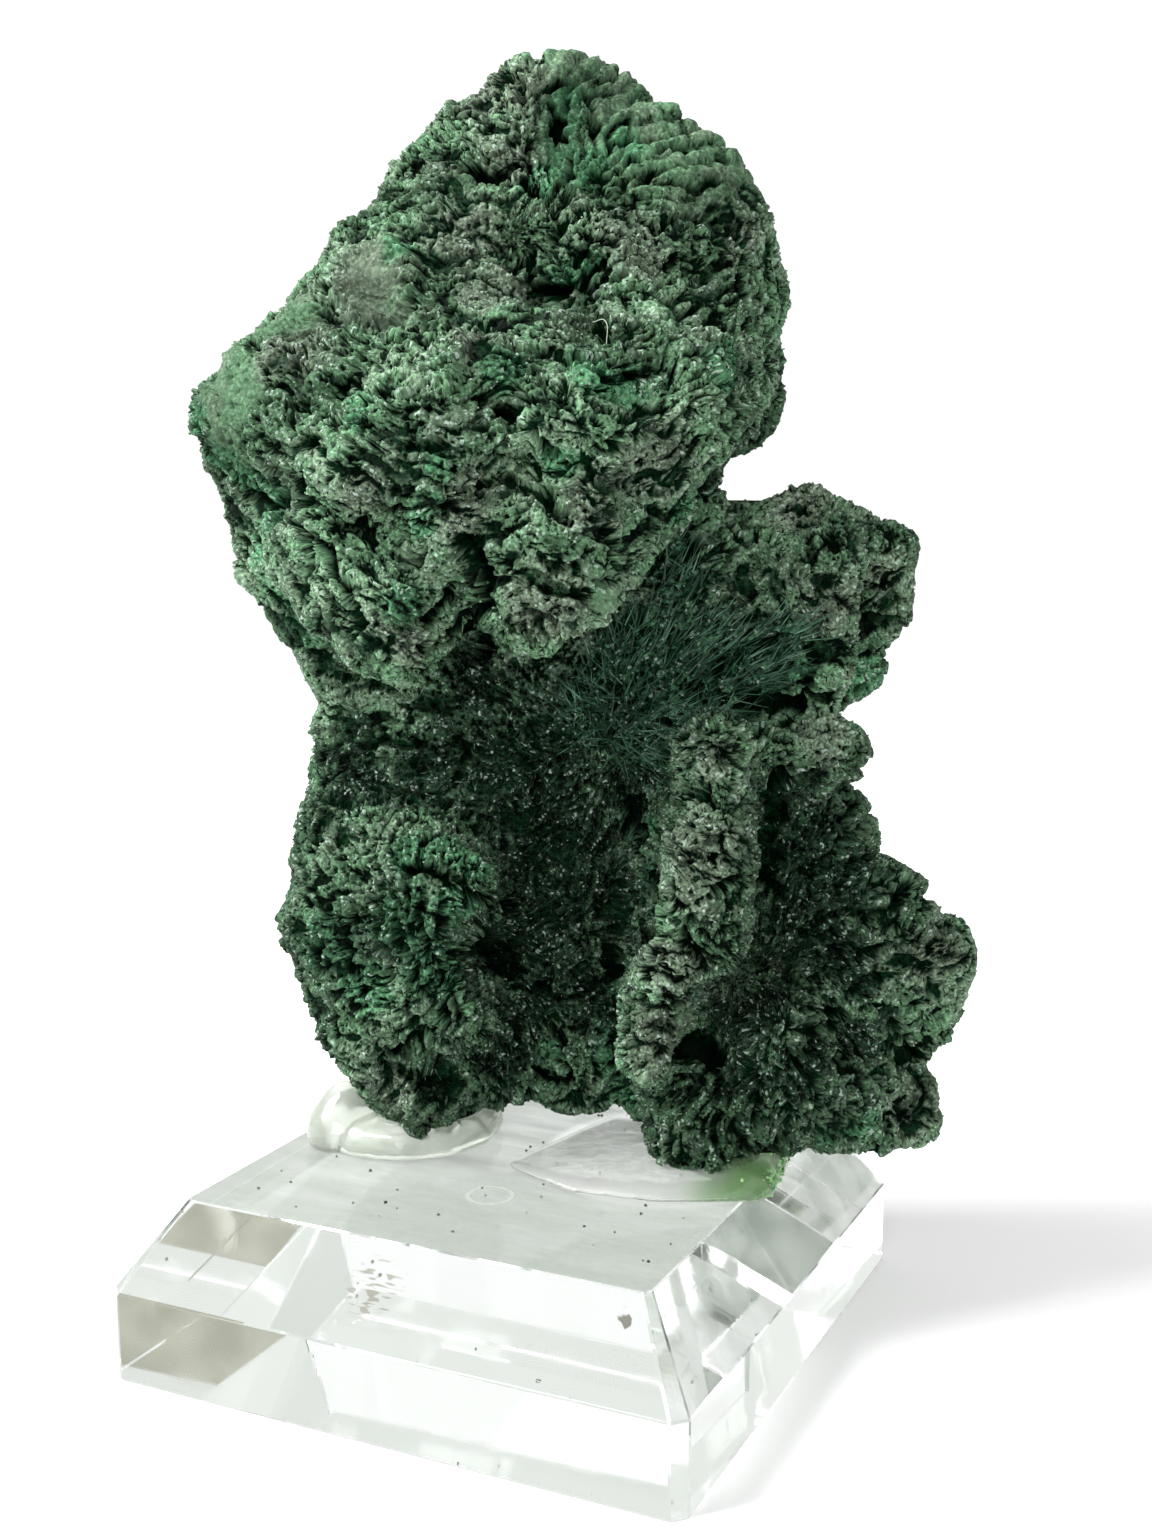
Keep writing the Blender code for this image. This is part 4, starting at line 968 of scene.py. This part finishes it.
# One pale stray hair, caught in the hollow under the head's ledge.
bpy.ops.object.select_all(action="DESELECT")
bpy.ops.curve.primitive_bezier_curve_add()
hair = bpy.context.object
hair.name = "stray_hair"
strand = hair.data
strand.splines[0].bezier_points.add(1)
turn = Matrix.Rotation(STONE_TURN, 3, "Z")
for point, place in zip(strand.splines[0].bezier_points, HAIR_LINE):
    point.co = turn @ Vector(place) * MM
    point.handle_left_type = "AUTO"
    point.handle_right_type = "AUTO"
strand.bevel_depth = HAIR_RADIUS
strand.bevel_resolution = 1
strand.use_fill_caps = True
bpy.ops.object.convert(target="MESH")
hair = bpy.context.object
hair_finish, tree, shader = new_finish("pale_hair", Roughness=0.5, Base_Color=(0.42, 0.47, 0.38))
hair.data.materials.clear()
hair.data.materials.append(hair_finish)
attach(hair, "root")
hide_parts("malachite")

# ---------------------------------------------------------------------------------------
# THE FLOOR, THE LIGHT AND THE CAMERA
# A pale floor in an even pale room, a large soft lamp above on the left and a weaker one in
# front, cards and a glowing sheet of painted light that only the clear pieces see, and a camera
# a little above the stone's middle.
# ---------------------------------------------------------------------------------------
VIEW_TURN = math.radians(25.54)
VIEW_TILT = math.radians(8.76)
VIEW_ROLL = math.radians(-0.12)
VIEW_TARGET = Vector((0.004925, 0.0, 0.04826))
VIEW_DISTANCE = 0.1491
FRAME_HEIGHT_PX = 1536.0
GIVEN_LIGHT = 0.78
SEEN_EXTRA = 0.27
FOCAL_PX = 1817.3
CARD_DISTANCE = 0.28

def studio_plane(name, finish, size, location, rotation=(0.0, 0.0, 0.0), scale=(1.0, 1.0, 1.0), seen=True):
    """A flat sheet of the studio; one that is not seen is there for the clear pieces alone."""
    bpy.ops.object.select_all(action="DESELECT")
    bpy.ops.mesh.primitive_plane_add(size=size, location=location, rotation=rotation)
    plane = bpy.context.object
    plane.name = name
    plane.scale = scale
    plane.data.materials.append(finish)
    plane.visible_camera = seen
    plane.visible_diffuse = seen
    plane.visible_shadow = seen


floor_finish = new_finish("pale_floor", Roughness=0.6, Base_Color=(0.93, 0.93, 0.93))[0]
studio_plane("floor", floor_finish, 0.8, (0.0, 0.0, -0.00005))

bpy.context.scene.view_settings.view_transform = "Standard"
bpy.context.scene.cycles.max_bounces = 24
bpy.context.scene.cycles.glossy_bounces = 16
bpy.context.scene.cycles.transmission_bounces = 24
world = bpy.data.worlds.new("pale_room")
bpy.context.scene.world = world
world.use_nodes = True
background = world.node_tree.nodes["Background"]
background.inputs["Color"].default_value = (1.0, 1.0, 1.0, 1.0)
ray = world.node_tree.nodes.new("ShaderNodeLightPath").outputs
seen = sums(world.node_tree, "MAXIMUM", ray["Is Camera Ray"],
            sums(world.node_tree, "MAXIMUM", ray["Is Transmission Ray"], ray["Is Glossy Ray"]))
strength = plus(world.node_tree, times(world.node_tree, seen, SEEN_EXTRA), GIVEN_LIGHT)
world.node_tree.links.new(strength, background.inputs["Strength"])


def soft_lamp(name, place, width, power):
    """A square soft lamp that faces the stone's middle."""
    lamp = bpy.data.lights.new(name, "AREA")
    lamp.size = width
    lamp.energy = power
    thing = bpy.data.objects.new(name, lamp)
    bpy.context.scene.collection.objects.link(thing)
    thing.location = place
    thing.rotation_euler = (Vector(place) - Vector((0.0, 0.0, 0.05))).to_track_quat("Z", "Y").to_euler()


soft_lamp("key_lamp", (-0.45, -0.35, 0.65), 0.40, 15.0)
soft_lamp("fill_lamp", (0.25, -0.75, 0.35), 0.50, 3.0)


def side_card(name, bearing, lift, width, height, first, second):
    """A card beside the table, in soft bands of two shades."""
    finish, tree, shader = new_finish(name + "_finish", Roughness=0.8)
    slant = stretched(tree, own_place(tree), (22.0, 22.0, 3.0), (0.5, 0.3, 0.4))
    band = spread(tree, noise(tree, slant, 1.0), 0.42, 0.60)
    tree.links.new(blend_colours(tree, band, first, second), shader.inputs["Base Color"])
    turn = math.radians(bearing)
    place = (CARD_DISTANCE * math.sin(turn), CARD_DISTANCE * math.cos(turn), lift)
    studio_plane(name, finish, 1.0, place, (math.pi / 2.0, 0.0, -turn), (width, height, 1.0), seen=False)


side_card("warm_card", 38.0, 0.075, 0.26, 0.16, (0.15, 0.15, 0.115), (0.21, 0.21, 0.17))
side_card("cool_card", -76.0, 0.10, 0.24, 0.22, (0.21, 0.24, 0.21), (0.40, 0.43, 0.40))
side_card("right_card", 112.0, 0.075, 0.26, 0.16, (0.18, 0.20, 0.19), (0.50, 0.52, 0.50))

# A glowing sheet under the block, as wide as the block's foot and what it lets through behind it: painted
# light, so that the floor seen through the block looks lit where the stone and the block shade it.
sheet_finish = new_finish("painted_floor_light_finish", Roughness=0.8, Base_Color=(0.0, 0.0, 0.0),
                          Emission_Color=(0.82, 0.84, 0.81), Emission_Strength=1.0)[0]
studio_plane("painted_floor_light", sheet_finish, 0.12, (0.0, 0.015, -0.00002), seen=False)

back = Vector((math.sin(VIEW_TURN) * math.cos(VIEW_TILT),
               -math.cos(VIEW_TURN) * math.cos(VIEW_TILT), math.sin(VIEW_TILT)))
lens = bpy.data.cameras.new("camera")
lens.sensor_fit = "VERTICAL"
lens.sensor_height = 36.0
lens.lens = FOCAL_PX * lens.sensor_height / FRAME_HEIGHT_PX
lens.clip_start = 0.005
camera = bpy.data.objects.new("camera", lens)
bpy.context.scene.collection.objects.link(camera)
upright = back.to_track_quat("Z", "Y").to_matrix() @ Matrix.Rotation(VIEW_ROLL, 3, "Z")
camera.matrix_world = Matrix.Translation(VIEW_TARGET + back * VIEW_DISTANCE) @ upright.to_4x4()
bpy.context.scene.camera = camera
